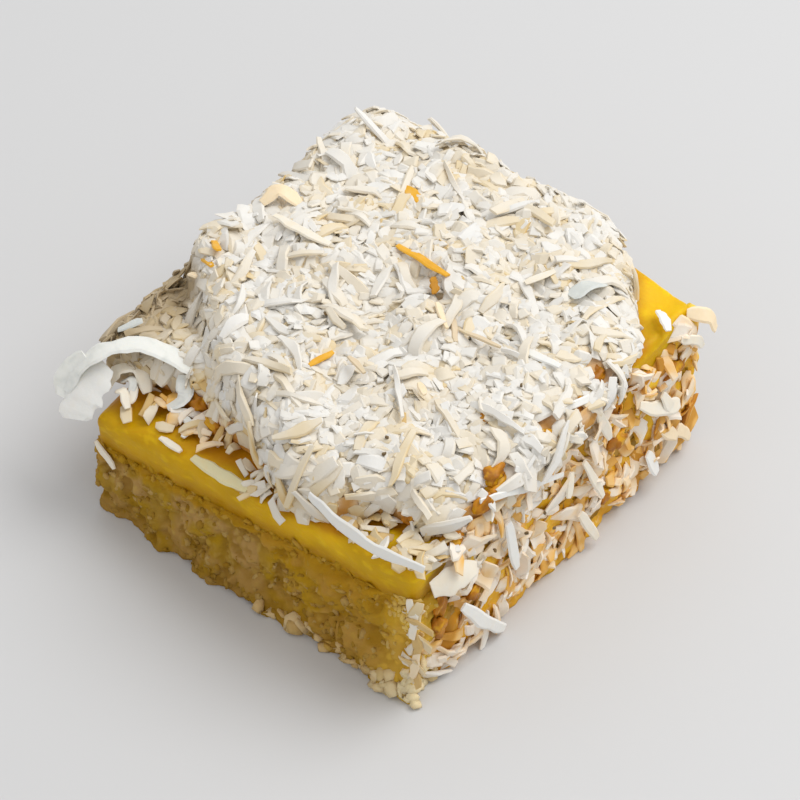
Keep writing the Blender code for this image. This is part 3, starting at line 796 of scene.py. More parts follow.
def crust_finish():
    """What shows between the flakes: sugar and curd baked brown low down, yellow where curd came through."""
    material, place = new_finish("baked_sugar", weight=0.2, radius=(1.0, 0.5, 0.15), specular=0.3)
    fine = speckle(place, 1.2 * MM, 3.0)
    tone = stored(place, "browned") + (speckle(place, 4 * MM) - 0.5) * 0.5
    colour = tone.ramp(
        (0.0, (0.88, 0.58, 0.03)),
        (0.3, (0.85, 0.47, 0.025)),
        (0.6, (0.64, 0.29, 0.015)),
        (1.0, (0.32, 0.13, 0.01)),
    )
    colour = (fine.between(0.54, 0.68) * tone.between(0.75, 0.4) * 0.4).blend(colour, (0.86, 0.68, 0.40))
    return finish_surface(material, colour, 0.45 + fine * 0.3, bumps(place, fine, 0.3 * MM, 0.6))


def fibrous(material, place, colour, size, roughness):
    """The surface of a flake, with fine fibres that catch the light."""
    fibre = speckle(place, size, 2.0)
    return finish_surface(material, colour, roughness + fibre * 0.2, bumps(place, fibre, 0.08 * MM, 0.5))


def toasted_finish():
    """Flakes from nearly white to brown, their ends and odd patches toasted deeper, painted shade on low
    ones.
    """
    material, place = new_finish("toasted_flake", weight=0.08, radius=(1.0, 0.75, 0.5), specular=0.35)
    scorch = speckle(place, 3.2 * MM, 1.0).between(0.35, 0.75) - 0.5
    # Painted shade: flakes that lie lower, by 1 - rise, are browner.
    tone = stored(place, "tint") * 0.75 + (1 - stored(place, "rise")) * 0.25 + scorch * 0.3 - 0.05
    tone = tone + stored(place, "rim") * 0.12 + place.axis(1).between(-8 * MM, 12 * MM) * 0.2
    colour = tone.ramp(
        (0.0, (0.89, 0.84, 0.76)),
        (0.35, (0.89, 0.77, 0.62)),
        (0.6, (0.88, 0.65, 0.38)),
        (0.8, (0.84, 0.48, 0.12)),
        (1.0, (0.60, 0.28, 0.03)),
    )
    return fibrous(material, place, colour, 0.5 * MM, 0.5)


def flake_rows(bm, stations):
    """A strip with a rounded section. Each station has its middle, side, face, width and thickness."""
    rim = bm.verts.layers.float["rim"]
    section = ((-1, 0), (-0.72, -1), (0.72, -1), (1, 0), (0.72, 1), (-0.72, 1))
    rows = []
    for middle, side, face, width, thick in stations:
        row = []
        for u, v in section:
            corner = bm.verts.new(middle + side * (u * width / 2) + face * (v * thick / 2))
            corner[rim] = 1 if v == 0 else 0
            row.append(corner)
        rows.append(row)
    for a, b in zip(rows, rows[1:]):
        for i in range(len(section)):
            j = (i + 1) % len(section)
            bm.faces.new((a[i], a[j], b[j], b[i]))
    bm.faces.new(reversed(rows[0]))
    bm.faces.new(rows[-1])


def flake_shape(rng, length, width, thickness, sections, curl, twist):
    """One flake, lying along X with its hollow side down: plump, uneven in width, and blunt at its ends."""
    blunt = rng.uniform(0.6, 1.0)
    sway = rng.uniform(-0.1, 0.1)
    stations = []
    for i in range(sections):
        t = 2 * i / (sections - 1) - 1
        turn = Matrix.Rotation(twist * t + rng.uniform(-0.1, 0.1), 3, "X")
        skew = Vector((rng.uniform(-0.35, 0.35), 1, 0)).normalized()
        middle = Vector((t * length / 2, sway * length * (t * t - 0.5), -curl * length * t * t))
        wide = width * (1 - (1 - blunt) * abs(t) ** 2.5) * rng.uniform(0.8, 1.1)
        thick = thickness * (1 - 0.45 * t * t) * rng.uniform(0.85, 1.1)
        stations.append((middle, turn @ skew, turn @ Vector((0, 0, 1)), wide, thick))
    bm = bmesh.new()
    bm.verts.layers.float.new("rim")
    flake_rows(bm, stations)
    mesh = finished_mesh("flake", bm)
    mesh.set_sharp_from_angle(angle=FLAKE_CREASE)
    return mesh


def flake_set(name, seed, count, length, width, sections, thickness=0.5):
    """Several unlike flakes of about the given length, width and thickness in millimetres."""
    rng = random.Random(seed)
    meshes = []
    for _ in range(count):
        size = length * MM * rng.uniform(0.75, 1.25), width * MM * rng.uniform(0.75, 1.25)
        curl, twist = rng.uniform(0, 0.16), rng.uniform(-0.5, 0.5)
        thick = thickness * MM * rng.uniform(0.8, 1.25)
        meshes.append(flake_shape(rng, *size, thick, sections, curl, twist))
    return shape_set(name, meshes)


def flake_layer(name, surface, seed, flakes, finish, **values):
    """Strews flakes of its own over a surface. Flakes: their count, length, width and sections."""
    shapes = flake_set(f"{name}_shapes", seed, *flakes)
    made = strewn(name, surface, shapes, finish, seed=seed, **values)
    drop_shapes(shapes)
    return made


def make_edge():
    """The crust: a slab whose outer face is uneven like packed coconut, and whose back lies on the bar."""
    rings = []
    for column in range(EDGE_COLUMNS + 1):
        y = mix(EDGE_FRONT, BACK - 0.2 * MM, column / EDGE_COLUMNS)
        outer = [edge_face(y, row / EDGE_ROWS) for row in range(EDGE_ROWS + 1)]
        inner = [Vector((EDGE_INNER - 0.5 * MM, p.y, p.z)) for p in reversed(outer)]
        rings.append(outer + inner)
    ends = [Vector((EDGE_INNER, ring[0].y, edge_height(ring[0].y) / 2)) for ring in (rings[0], rings[-1])]
    edge = loft("toasted_edge", rings, *ends)
    edge.data.materials.append(crust_finish())
    return edge


def edge_cover(co, facing):
    """Where flakes lie on the crust: on its outer face and top, but not in hollows nor at its rims."""
    if facing.x < 0.3 and facing.z < 0.5 or co.z < 1.2 * MM or not EDGE_FRONT + MM < co.y < BACK - 1.2 * MM:
        return 0.0
    return 1 - min(1.5 * hollow(co.y, co.z), 1)


def spill_cover(co, facing):
    """Where white coconut from the heap has come down over the crust, thinning downwards."""
    share = smooth_step(co.z, 8 * MM, 24 * MM) * (1 - smooth_step(co.y, 0, 10 * MM))
    return edge_cover(co, facing) * share


edge = make_edge()
give_values(edge, "browned", lambda co, n: browned(co.y, co.z))
give_values(edge, "cover", edge_cover)
toasted = toasted_finish()
toasted_flakes = flake_layer(
    "toasted_flakes", edge, 11, (8, 5.0, 2.3, 5), toasted, density=0.15,
    sizes=((0.6, 0.6, 1.0), (1.2, 1.2, 1.2)), tilt=(0.45, 0.3, 1.25), lift=(0, 0.8), bend=(0.9, 4),
)
toasted_scraps = flake_layer(
    "toasted_scraps", edge, 12, (6, 2.8, 1.6, 4), toasted, density=0.16,
    sizes=((0.6, 0.6, 0.8), (1.4, 1.3, 1.3)), tilt=(0.9, 0.9, math.pi), lift=(0, 0.9), bend=(0.4, 2),
)
spill = linked("spill", edge.data.copy())
give_values(spill, "cover", spill_cover)
put_in_frame(edge, "toasted_edge", "toasted_edge")
put_in_frame(toasted_flakes, "toasted_edge")
put_in_frame(toasted_scraps, "toasted_edge")


# The coconut heap
# Moist grated coconut, strewn over the curd before baking and again after, and pressed by hand. It has a
# packed core under chips, shreds and fine gratings. At the left front it has slid down to a lower shelf.

HEAP_CROWN = 31.8 * MM
HEAP_LEAN, HEAP_DOME, HEAP_LUMPS = 1.1 * MM, 0.7 * MM, 1.5 * MM
HEAP_RIM_SHARE, HEAP_SHOULDER = 0.66, 3.5 * MM
SLIP_LINE_START = Vector((-30.2 * MM, -7.1 * MM))
SLIP_LINE_END = Vector((-9.4 * MM, -24.4 * MM))
SLIP_DROP, SLIP_WIDTH = 5.6 * MM, 3.2 * MM
HEAP_CENTRE = Vector((-1 * MM, 3 * MM))
HEAP_POINTS, HEAP_TOP_RINGS, HEAP_SIDE_RINGS = 360, 60, 8
HEAP_LOOP_POINTS, CURVE_STEPS = 84, 12
HEAP_GAP_DEPTH = 1.6 * MM
BARE_FOOT_LEFT, BARE_FOOT_RIGHT = 4.6 * MM, 2.4 * MM

# The heap's outline on the curd, in millimetres, from the left side round by the front.
HEAP_OUTLINE = [
    (-33.2, -20.6), (-29.4, -23.9), (-22, -21.6), (-15.5, -22.6), (-9.4, -24.8), (-3.4, -25.8), (2, -28.4),
    (7.8, -30), (12.8, -29), (15.6, -25.6), (19.5, -24.2), (25, -23.6), (27.6, -19), (29.5, -11),
    (30.2, -4), (29.4, 4), (28.6, 11), (26.6, 16.6), (23, 21.4), (19, 26), (15, 30.8), (11, 32.8),
    (-6, 33), (-24, 33), (-30.4, 32), (-31.6, 25), (-31.5, 8), (-33, -9),
]


def near(x, y, at_x, at_y, reach):
    """1 at the given place in plan, falling smoothly to nothing a few reaches away."""
    return math.exp(-((x - at_x) ** 2 + (y - at_y) ** 2) / reach**2)


def past_slip_line(x, y):
    along = (SLIP_LINE_END - SLIP_LINE_START).normalized()
    return Vector((along.y, -along.x)).dot(Vector((x, y)) - SLIP_LINE_START)


def heap_crown(x, y):
    """The height that the heap would have here with no rim."""
    dome = HEAP_DOME * ((x / RIGHT) ** 2 + (y / BACK) ** 2)
    uneven = HEAP_LUMPS * noise.noise(Vector((x, y, 0)) / (9 * MM))
    slip = SLIP_DROP * smooth_step(past_slip_line(x, y), -SLIP_WIDTH / 2, SLIP_WIDTH / 2)
    thin_right = 5 * MM * near(x, y, RIGHT, BACK, 13 * MM)
    low_front = 3 * MM * near(x, y, RIGHT, FRONT, 15 * MM)
    return HEAP_CROWN + HEAP_LEAN * y / BACK - dome + uneven - slip - thin_right - low_front


def on_curve(a, b, c, d, t):
    """The point at share t of the way from b to c, on a smooth curve through all four."""
    bend = (2 * a - 5 * b + 4 * c - d) * t**2 + (3 * b - a - 3 * c + d) * t**3
    return 0.5 * (2 * b + (c - a) * t + bend)


def heap_outline(count):
    """The heap's outline as a closed curve, read off at count evenly spaced points."""
    corners = [Vector((x * MM, y * MM)) for x, y in HEAP_OUTLINE]
    fine = []
    for i in range(len(corners)):
        nearby = [corners[(i + k - 1) % len(corners)] for k in range(4)]
        fine += [on_curve(*nearby, step / CURVE_STEPS) for step in range(CURVE_STEPS)]
    return evenly_spaced(fine, count)


# Gaps between the flakes where the curd glows through, in millimetres: place in plan and reach.
HEAP_GAPS = [
    (28.2, -15.1, 2.6), (27.4, -13.6, 1.8), (27.6, -3.8, 2.2), (3.5, 4.4, 1.5), (27.3, -20, 1.8),
    (28.6, 2.4, 2), (26.8, 8.8, 2.2), (20, -24.4, 1.4), (14, -28, 1.5), (22.5, -6, 0.8),
    (-29, -12, 1.6), (-27, -18, 1.2), (-12, -23.6, 1), (-20, -21.8, 1.3), (-8, -24.6, 0.9),
    (-4, -25.8, 0.9), (1, -27.4, 0.8),
]


def gap(x, y):
    return max(near(x, y, at_x * MM, at_y * MM, reach * MM) for at_x, at_y, reach in HEAP_GAPS)


HEAP_LOOP = heap_outline(HEAP_LOOP_POINTS)


def depth_inside(x, y):
    """How far a place in plan is inside the heap's outline; negative outside it."""
    here = Vector((x, y))
    nearest = 1.0
    inside = False
    for a, b in zip(HEAP_LOOP, HEAP_LOOP[1:] + HEAP_LOOP[:1]):
        edge_line = b - a
        share = min(max((here - a).dot(edge_line) / edge_line.length_squared, 0), 1)
        nearest = min(nearest, (a + edge_line * share - here).length)
        if (a.y > y) != (b.y > y) and x < a.x + (y - a.y) * edge_line.x / edge_line.y:
            inside = not inside
    return nearest if inside else -nearest


def heap_top(x, y):
    """The heap's surface: full height inside its shoulder, and falling to a steep rim at its outline."""
    floor = curd_top(x, y) + LAYER_GAP
    full = heap_crown(x, y) - floor
    rise = min(max(depth_inside(x, y), 0) / HEAP_SHOULDER, 1)
    return floor + full * mix(HEAP_RIM_SHARE, 1, 1 - (1 - rise) ** 2)


def packed_finish():
    """The core of the heap: the same coconut, warmer, because it has taken up juice and lies in shade."""
    material, place = new_finish("packed_coconut", weight=0.2, radius=(1.0, 0.85, 0.6), specular=0.3)
    warm, cool, curd_stain_and_shade = (0.87, 0.77, 0.58), (0.88, 0.83, 0.72), (0.58, 0.25, 0.006)
    colour = speckle(place, 5 * MM).between(0.42, 0.62).blend(warm, cool)
    # Curd stain in the gaps, and painted shade lower down the flanks.
    colour = (stored(place, "flank") * 0.9).blend(colour, curd_stain_and_shade)
    grain = cells(place, 1.1 * MM)
    return finish_surface(material, colour, 0.6 + grain * 0.1, bumps(place, 1 - grain, 0.3 * MM, 0.6))


def coconut_finish():
    """White flesh, cream where thin, tan or amber here and there; painted shade on low flakes, foot and
    shelf.
    """
    material, place = new_finish("coconut_flesh", weight=0.08, radius=(1.0, 0.9, 0.75), specular=0.35)
    patch = speckle(place, 7 * MM, 1.0).between(0.35, 0.75)
    up = place.axis(2)
    # Painted shade: flakes that lie lower, by 1 - rise, are warmer, as in the crevices between flakes.
    tone = stored(place, "tint") * 0.6 + (1 - stored(place, "rise")) * 0.25 + patch * 0.2
    # Painted shade: warmer towards the heap's foot, below 28 mm.
    tone = tone + stored(place, "rim") * 0.15 + up.between(28 * MM, 21 * MM) * 0.3
    colour = tone.ramp(
        (0.0, (0.775, 0.76, 0.725)),
        (0.4, (0.765, 0.73, 0.665)),
        (0.7, (0.76, 0.67, 0.52)),
        (0.9, (0.72, 0.58, 0.35)),
        (1.0, (0.66, 0.45, 0.18)),
    )
    # Painted shade from the heap over the left shelf, on coconut that is tan there.
    shelf = place.axis(0).between(-21 * MM, -28 * MM) * up.between(31 * MM, 27 * MM)
    colour = (shelf * 0.8).blend(colour, (0.40, 0.30, 0.165))
    return fibrous(material, place, colour, 0.6 * MM, 0.48)


def make_heap():
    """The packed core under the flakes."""
    loop = heap_outline(HEAP_POINTS)
    facing = outward(loop)

    def underside(x, y):
        return curd_top(x, y) - 0.3 * MM

    def bumpy(x, y):
        at = Vector((x, y, heap_top(x, y)))
        relief = 0.9 * MM * (lumps(at, PACKED_SIZE) - 0.7) + 0.3 * MM * (lumps(at, 1.8 * MM) - 0.5)
        return at.z + relief - HEAP_GAP_DEPTH * gap(x, y)

    rings = [
        shrunk_ring(loop, HEAP_CENTRE, 0.5, underside),
        inset_ring(loop, facing, 0.4 * MM, underside),
    ]
    for i in range(HEAP_SIDE_RINGS):
        share = (i + 1) / (HEAP_SIDE_RINGS + 1)
        ring = []
        for p, n in zip(loop, facing):
            at = Vector((p.x, p.y, mix(underside(p.x, p.y), heap_top(p.x, p.y), share)))
            out = (0.2 - 0.9 * max(0, share - 0.6)) * MM + 0.5 * MM * (lumps(at, 2.6 * MM) - 0.4)
            ring.append(at + n.to_3d() * out)
        rings.append(ring)
    for i in range(HEAP_TOP_RINGS):
        rings.append(shrunk_ring(loop, HEAP_CENTRE, 0.985 * (1 - i / (HEAP_TOP_RINGS + 1)), bumpy))
    heap = loft("coconut_heap", rings, raised(HEAP_CENTRE, underside), raised(HEAP_CENTRE, bumpy))
    heap.data.materials.append(packed_finish())
    return heap


def heap_cover(co, facing):
    """Where flakes lie on the core: hardly at its foot, and not in the gaps."""
    above_curd = co.z - curd_top(co.x, co.y)
    if facing.z < -0.3 or above_curd < 0.2 * MM:
        return 0.0
    bare_foot = mix(BARE_FOOT_LEFT, BARE_FOOT_RIGHT, smooth_step(co.x, -6 * MM, 6 * MM))
    clothed = mix(0.15, 1, smooth_step(above_curd, 0.3 * bare_foot, bare_foot))
    return (1 - min(1.6 * gap(co.x, co.y), 1)) * clothed


def flank(co, facing):
    """How much curd the core has taken up in its gaps, and painted shade down its flanks."""
    return max(gap(co.x, co.y), smooth_step(co.z - heap_top(co.x, co.y), -0.8 * MM, -3 * MM))


def heap_shade_on_curd(co, facing):
    """How much painted shade the heap throws on the curd under and beside it: furthest out on the left."""
    at = co - SHIFT
    reach = mix(7 * MM, 2.6 * MM, smooth_step(at.x, -12 * MM, 0)) + 2 * MM * noise.noise(at / (3 * MM))
    return smooth_step(depth_inside(at.x, at.y), -reach, -0.35 * reach) * smooth_step(facing.z, 0.2, 0.8)


# Their dark amber is painted shade of the openings between the flakes, where amber shows through.
# Lumps of baked curd between the flakes, in mm: place, then reach in depth, along the side and up.
SEEPS = [
    (28, -17.4, 26.4, 1, 2.2, 1.4), (28, -14.4, 26.8, 1, 2.2, 1.2), (27.2, -14.4, 28.4, 1.2, 1.9, 1),
    (28, -5.6, 28.8, 1, 1.6, 1.1), (28, 0.1, 28.9, 0.9, 1, 0.8), (27.4, 3, 28.4, 1.1, 1.5, 0.9),
    (26.2, 8.6, 28.6, 1.2, 1.7, 0.9), (25.6, 12.2, 28.8, 1, 1, 0.8), (21.6, -8.8, 30.6, 0.9, 0.8, 0.7),
    (21.6, -24.1, 25, 1.2, 1.2, 0.9), (27.2, -23, 23.4, 1.2, 1.7, 0.8), (28.6, -0.1, 23.6, 0.7, 1.2, 1.1),
    (27.9, 11, 21.2, 0.9, 1.1, 1.7), (27.8, 11.4, 23.8, 0.9, 1.2, 1.7), (28.5, 11.6, 15, 0.8, 2, 1.5),
    (28.5, -1.2, 15.1, 0.7, 1.2, 1.1), (28.5, 9.4, 6.1, 0.7, 1.3, 1.1), (28.5, -19.8, 11.5, 0.7, 1.4, 1.2),
    (27.9, -26.2, 14.4, 0.8, 1.2, 2.4), (27.9, -26.4, 10, 0.8, 1.2, 2.6), (28, 17, 22, 0.9, 2.2, 1),
    (28.3, 24.8, 18.6, 0.8, 2.4, 1.1), (-16.4, -23, 20.8, 1.3, 1, 1.1), (-12.4, -24.6, 20.3, 1.7, 0.9, 0.9),
]


def seep_finish():
    """Curd that welled up between the flakes and baked amber, darkened with painted shade of the openings."""
    material, place = new_finish("baked_curd", weight=0.2, radius=(1.0, 0.5, 0.1), specular=0.3)
    amber, shaded_amber, golden = (0.55, 0.22, 0.005), (0.36, 0.13, 0.004), (0.74, 0.39, 0.01)
    colour = speckle(place, 3 * MM, 1.0).between(0.40, 0.60).blend(amber, shaded_amber)
    colour = (speckle(place, 1.8 * MM).between(0.50, 0.64) * 0.8).blend(colour, golden)
    fine = speckle(place, 1.0 * MM, 3.0)
    return finish_surface(material, colour, 0.35 + fine * 0.25, bumps(place, fine, 0.3 * MM, 0.6))


def make_seeps():
    bm = bmesh.new()
    for x, y, z, *reach in SEEPS:
        middle, size = Vector((x, y, z)), Vector(reach)
        for vert in bmesh.ops.create_icosphere(bm, subdivisions=3, radius=1)["verts"]:
            uneven = 1 + 0.6 * noise.noise(1.6 * vert.co + middle)
            vert.co = (middle + vert.co * size * uneven) * MM
    seeps = linked("baked_curd", finished_mesh("baked_curd", bm))
    seeps.data.materials.append(seep_finish())
    return seeps


heap = make_heap()
give_values(heap, "flank", flank)
give_values(heap, "cover", heap_cover)
give_values(curd, "heap_shade", heap_shade_on_curd)
flesh = coconut_finish()
chips = flake_layer(
    "coconut_chips", heap, 31, (10, 4.8, 2.4, 5), flesh, density=0.36,
    sizes=((0.6, 0.6, 0.9), (1.2, 1.2, 1.2)), tilt=(0.28, 0.2, math.pi), lift=(-0.1, 0.7), bend=(1.1, 4),
)
gratings = flake_layer(
    "coconut_gratings", heap, 32, (8, 3.0, 1.9, 4), flesh, density=0.62,
    sizes=((0.7, 0.7, 0.8), (1.35, 1.35, 1.2)), tilt=(0.42, 0.35, math.pi), lift=(0.05, 0.8), bend=(0.5, 2),
)
shreds = flake_layer(
    "coconut_shreds", heap, 33, (6, 7.5, 1.4, 7), flesh, density=0.035,
    sizes=((0.6, 0.7, 1.0), (1.25, 1.4, 1.4)), tilt=(0.5, 0.22, math.pi), lift=(0.6, 1.5), bend=(1.6, 5),
)
put_in_frame(make_seeps(), "lemon_curd")
put_in_frame(heap, "coconut_topping", "coconut_topping")
for layer in (chips, gratings, shreds):
    put_in_frame(layer, "coconut_topping")


# The single strips and toasted bits
# The broad ribbon over the left corner, and the long shreds, chips and browned bits that catch the eye. All
# are the same grated coconut. Each lies where it fell, and clings to the moist coconut and curd under it.

# The first two tones are painted shade: grey for strips in deep shade, greyish white for the translucent
# ribbon in shade.
GREY, GLASSY_IN_SHADE, WHITE, CREAM, PEACH = 0.0, 0.06, 0.14, 0.25, 0.37
TAN, GLAZED, ORANGE, AMBER, SPECK = 0.5, 0.62, 0.78, 0.9, 1.0
STRIP_STEPS, STRIP_THICKNESS = 5, 0.42 * MM
SPECK_REACH, SPECK_WIDTH = 0.25, 0.4
UP, RIGHTWARDS, FORWARDS, OVER_CORNER = (0, 0, 1), (1, 0, 0.3), (0, -1, 0.4), (0.1, -0.6, 0.8)

# Each strip: its tone, its width, the way it faces, and its path in millimetres.
STRIPS = [
    # The ribbon, and the wide sheet and two narrower pieces beside it.
    (GLASSY_IN_SHADE, 3.2, UP, (-17, -20, 23), (-21, -21.2, 24.6), (-26.5, -22.4, 25.2), (-30.6, -25.8, 24.2),
     (-33, -28.6, 21.6), (-33.6, -31, 18.6)),
    (GLASSY_IN_SHADE, 3.6, OVER_CORNER, (-32.8, -27.4, 22.9), (-34.2, -29.4, 20.6), (-33.8, -31.6, 17.8)),
    (WHITE, 6.4, OVER_CORNER, (-30.2, -26.4, 22.4), (-30.8, -28.6, 20.6), (-31, -30.8, 18.4),
     (-30.6, -32.6, 16.2)),
    (GREY, 1.6, UP, (-29.4, -19.4, 25.8), (-31.6, -22, 24.7)),
    # Along the curd, and the strays inside the ribbon's arch.
    (WHITE, 2.0, FORWARDS, (10.4, -31.2, 27.3), (15, -32.2, 27), (22, -32.2, 25.8), (28.4, -30, 24.4)),
    (GLAZED, 2.1, UP, (-11.2, -29.9, 19.2), (-6, -30.5, 19.8), (-0.8, -30.7, 20.3)),
    (CREAM, 1.2, UP, (-17.4, -29.6, 18.7), (-13.2, -30.2, 19.2)),
    (CREAM, 1.1, FORWARDS, (-28.3, -31.2, 12.4), (-25.2, -31.2, 8.9)),
    (CREAM, 2.2, UP, (-29.6, -27, 18.6), (-28.9, -25.2, 21.2), (-26.3, -23.8, 21.6), (-24, -24.8, 19.4)),
    (CREAM, 1.5, UP, (-27.8, -26.8, 18.8), (-26.2, -27.4, 20.4), (-24.2, -28.6, 19.2)),
    (GLASSY_IN_SHADE, 1.4, UP, (-28.2, -25.2, 19.4), (-26.4, -25.2, 20.8), (-25.2, -27, 19.4)),
    (CREAM, 1.5, UP, (-25.6, -25.4, 20.2), (-24.7, -27.7, 19.3)),
    (GLASSY_IN_SHADE, 3.0, UP, (-19.6, -21.6, 23), (-18.4, -23.8, 21.4), (-19.6, -25.6, 19.8)),
    (GLASSY_IN_SHADE, 1.3, UP, (-17.6, -25.6, 20.4), (-15.2, -26.2, 20), (-14.6, -28.2, 19.4)),
    (TAN, 1.6, UP, (-13.6, -25.2, 20.8), (-11.8, -27, 19.8)),
    # On top.
    (ORANGE, 1.6, UP, (-7.1, 8.2, 32.9), (-3, 8.1, 32.8), (2.3, 7.3, 33.3)),
    (ORANGE, 1.8, UP, (-14.6, 18.7, 32.2), (-12.5, 18.4, 32.4), (-10.5, 17.8, 32.2)),
    (ORANGE, 1.3, UP, (-29.1, -5.2, 30.7), (-25.9, -7.2, 32.1)),
    (ORANGE, 1.2, UP, (-29.2, -7, 29), (-25.1, -9.6, 31.3)),
    (PEACH, 1.4, UP, (-29, -10, 28), (-27.4, -10.2, 28.4)),
    (ORANGE, 1.1, UP, (-1.9, -16.6, 31.9), (-1.2, -12.5, 31.7)),
    (TAN, 1.0, UP, (7.2, 2.5, 32), (10.2, -0.8, 31.7)),
    (TAN, 0.8, UP, (9.3, 1.2, 32), (15.6, 1.9, 32)),
    (AMBER, 1.2, UP, (1.0, 6.0, 33.2), (1.9, 5.1, 33.1), (2.8, 4.0, 32.7)),
    (PEACH, 1.1, UP, (4.3, 2.5, 33), (8.4, -0.5, 32.9)),
    (PEACH, 1.1, UP, (11.9, -10.7, 32.7), (13.8, -11.7, 32.5)),
    (TAN, 1.0, UP, (1.8, -12.7, 32.9), (5.2, -13.8, 32.7)),
    (PEACH, 2.6, UP, (-28, 4.1, 31.8), (-26.9, 6.8, 33), (-23.7, 7.2, 31.9)),
    (CREAM, 1.6, UP, (-24.6, 2.9, 32.3), (-19.7, 2.5, 32.7), (-14.5, 2.8, 32.6)),
    (GREY, 3.0, UP, (16.7, 15.8, 31.8), (17.4, 18.8, 32.2), (18.2, 21.8, 31)),
    (CREAM, 1.6, UP, (10.7, 13.6, 32.4), (12.8, 17.5, 33)),
    (WHITE, 1.4, UP, (17.7, 3.4, 32), (24.2, 3.6, 32.4)),
    (WHITE, 1.6, UP, (24.6, 25.5, 26.8), (26.2, 24.6, 27.1), (27.8, 23.5, 26.4)),
    # Down the right side.
    (WHITE, 1.3, RIGHTWARDS, (28.3, -3, 31.4), (28.6, 5, 28.6), (27.8, 12.3, 26)),
    (WHITE, 1.3, RIGHTWARDS, (28.3, -18.5, 27.5), (29.9, -12.9, 26), (30, -2.8, 21)),
    (WHITE, 2.0, RIGHTWARDS, (29.6, -14.1, 20.7), (30, -12.2, 10.8)),
    (WHITE, 2.2, RIGHTWARDS, (29.8, -23.6, 12.8), (30.2, -19, 6), (30, -14.7, 0.8)),
    (WHITE, 2.2, RIGHTWARDS, (29.4, 18.1, 7.9), (30, 20, 3)),
    (CREAM, 1.5, RIGHTWARDS, (29.4, 0.1, 18.7), (30.2, -1.5, 15.5)),
    (CREAM, 1.6, RIGHTWARDS, (29.6, 2.5, 18.8), (29.8, 7.3, 8.5)),
    (CREAM, 1.6, RIGHTWARDS, (29, 5.5, 26.8), (29.9, 7.9, 19.2)),
    (CREAM, 2.4, RIGHTWARDS, (29, 15.9, 18.6), (29.4, 21.8, 13.9), (29.6, 25, 12.6)),
    (CREAM, 2.2, RIGHTWARDS, (29.2, 21, 17), (29.6, 23.4, 12.4)),
    (PEACH, 2.2, RIGHTWARDS, (29.2, 21.6, 9.6), (29.6, 25, 6)),
    (PEACH, 2.4, RIGHTWARDS, (29.2, 25.6, 7), (29.2, 29, 2.6)),
    (CREAM, 1.8, RIGHTWARDS, (29.6, 2.3, 8.9), (30.1, 6, 1.4)),
    (CREAM, 3.8, RIGHTWARDS, (28.4, -28.4, 19), (29.4, -25, 19.2), (29.8, -21, 17.8)),
    (PEACH, 2.4, RIGHTWARDS, (27.4, 28.4, 25.8), (29.6, 30.6, 25), (30.4, 31.4, 22.6)),
    (CREAM, 1.6, RIGHTWARDS, (28.6, 25.6, 23.8), (29.6, 28, 22.4), (29.8, 29.4, 20.4)),
    # Down the near corner.
    (CREAM, 1.5, FORWARDS, (26.8, -31.2, 18.6), (27.8, -31.3, 15.4), (27.6, -31.6, 12)),
    (PEACH, 1.4, FORWARDS, (28, -31, 11.4), (28.2, -31.4, 7.4), (27.6, -31.6, 4.4)),
]

# Tiny dark bits of coconut skin and burnt sugar, each in millimetres.
SPECKS = [
    (-6.4, -7.9, 32.3), (-2.7, -6.6, 32.2), (14, -19.9, 31.1), (15.1, -21.9, 30.4), (22.2, -2, 32),
    (29.9, -10.3, 15.8), (29.9, -4, 11.5), (29.9, -6.4, 16.5), (29.9, -17.3, 18.3),
]


def curve_through(corners, steps):
    """A smooth open curve through the corners."""
    ends = [2 * corners[0] - corners[1], *corners, 2 * corners[-1] - corners[-2]]
    points = []
    for i in range(len(corners) - 1):
        points += [on_curve(*ends[i:i + 4], step / steps) for step in range(steps)]
    return [*points, corners[-1]]


def lay_strip(bm, rng, tone, width, facing, *path):
    """One strip along its path, narrower and thinner at its ends."""
    points = curve_through([Vector(p) * MM for p in path], STRIP_STEPS)
    last = len(points) - 1
    stations = []
    roll, start = rng.uniform(-0.25, 0.25), rng.uniform(0, 100)
    for i, point in enumerate(points):
        along = (points[min(i + 1, last)] - points[max(i - 1, 0)]).normalized()
        side = Vector(facing).cross(along).normalized()
        face = along.cross(side)
        share = abs(2 * i / last - 1)
        turn = Matrix.Rotation(roll, 3, along)
        uneven = noise.noise(Vector((start, 0.4 * i, 0)))
        wide = width * MM * (1 - 0.4 * share**3) * (0.95 + 0.3 * uneven)
        thick = STRIP_THICKNESS * (1 - 0.3 * share**2)
        points[i] = point + side * noise.noise(Vector((0, 0.4 * i, start))) * 0.3 * MM
        stations.append((points[i], turn @ side, turn @ face, wide, thick))
    first = len(bm.verts)
    flake_rows(bm, stations)
    bm.verts.ensure_lookup_table()
    layer = bm.verts.layers.float["tone"]
    for vert in bm.verts[first:]:
        vert[layer] = tone


def strip_finish():
    """Coconut again, its tone set strip by strip from white to toasted amber; the two greyest tones are
    painted shade.
    """
    material, place = new_finish("single_strip", weight=0.1, radius=(1.0, 0.8, 0.6), specular=0.35)
    tone = stored(place, "tone") + (speckle(place, 1.6 * MM) - 0.5) * 0.12
    colour = tone.ramp(
        (GREY, (0.60, 0.62, 0.59)),
        (GLASSY_IN_SHADE, (0.80, 0.80, 0.75)),
        (WHITE, (0.85, 0.84, 0.80)),
        (CREAM, (0.85, 0.78, 0.65)),
        (PEACH, (0.88, 0.71, 0.48)),
        (TAN, (0.68, 0.55, 0.38)),
        (GLAZED, (0.68, 0.62, 0.38)),
        (ORANGE, (0.78, 0.40, 0.025)),
        (AMBER, (0.50, 0.22, 0.01)),
        (SPECK, (0.16, 0.11, 0.05)),
    )
    return fibrous(material, place, colour, 0.6 * MM, 0.45)


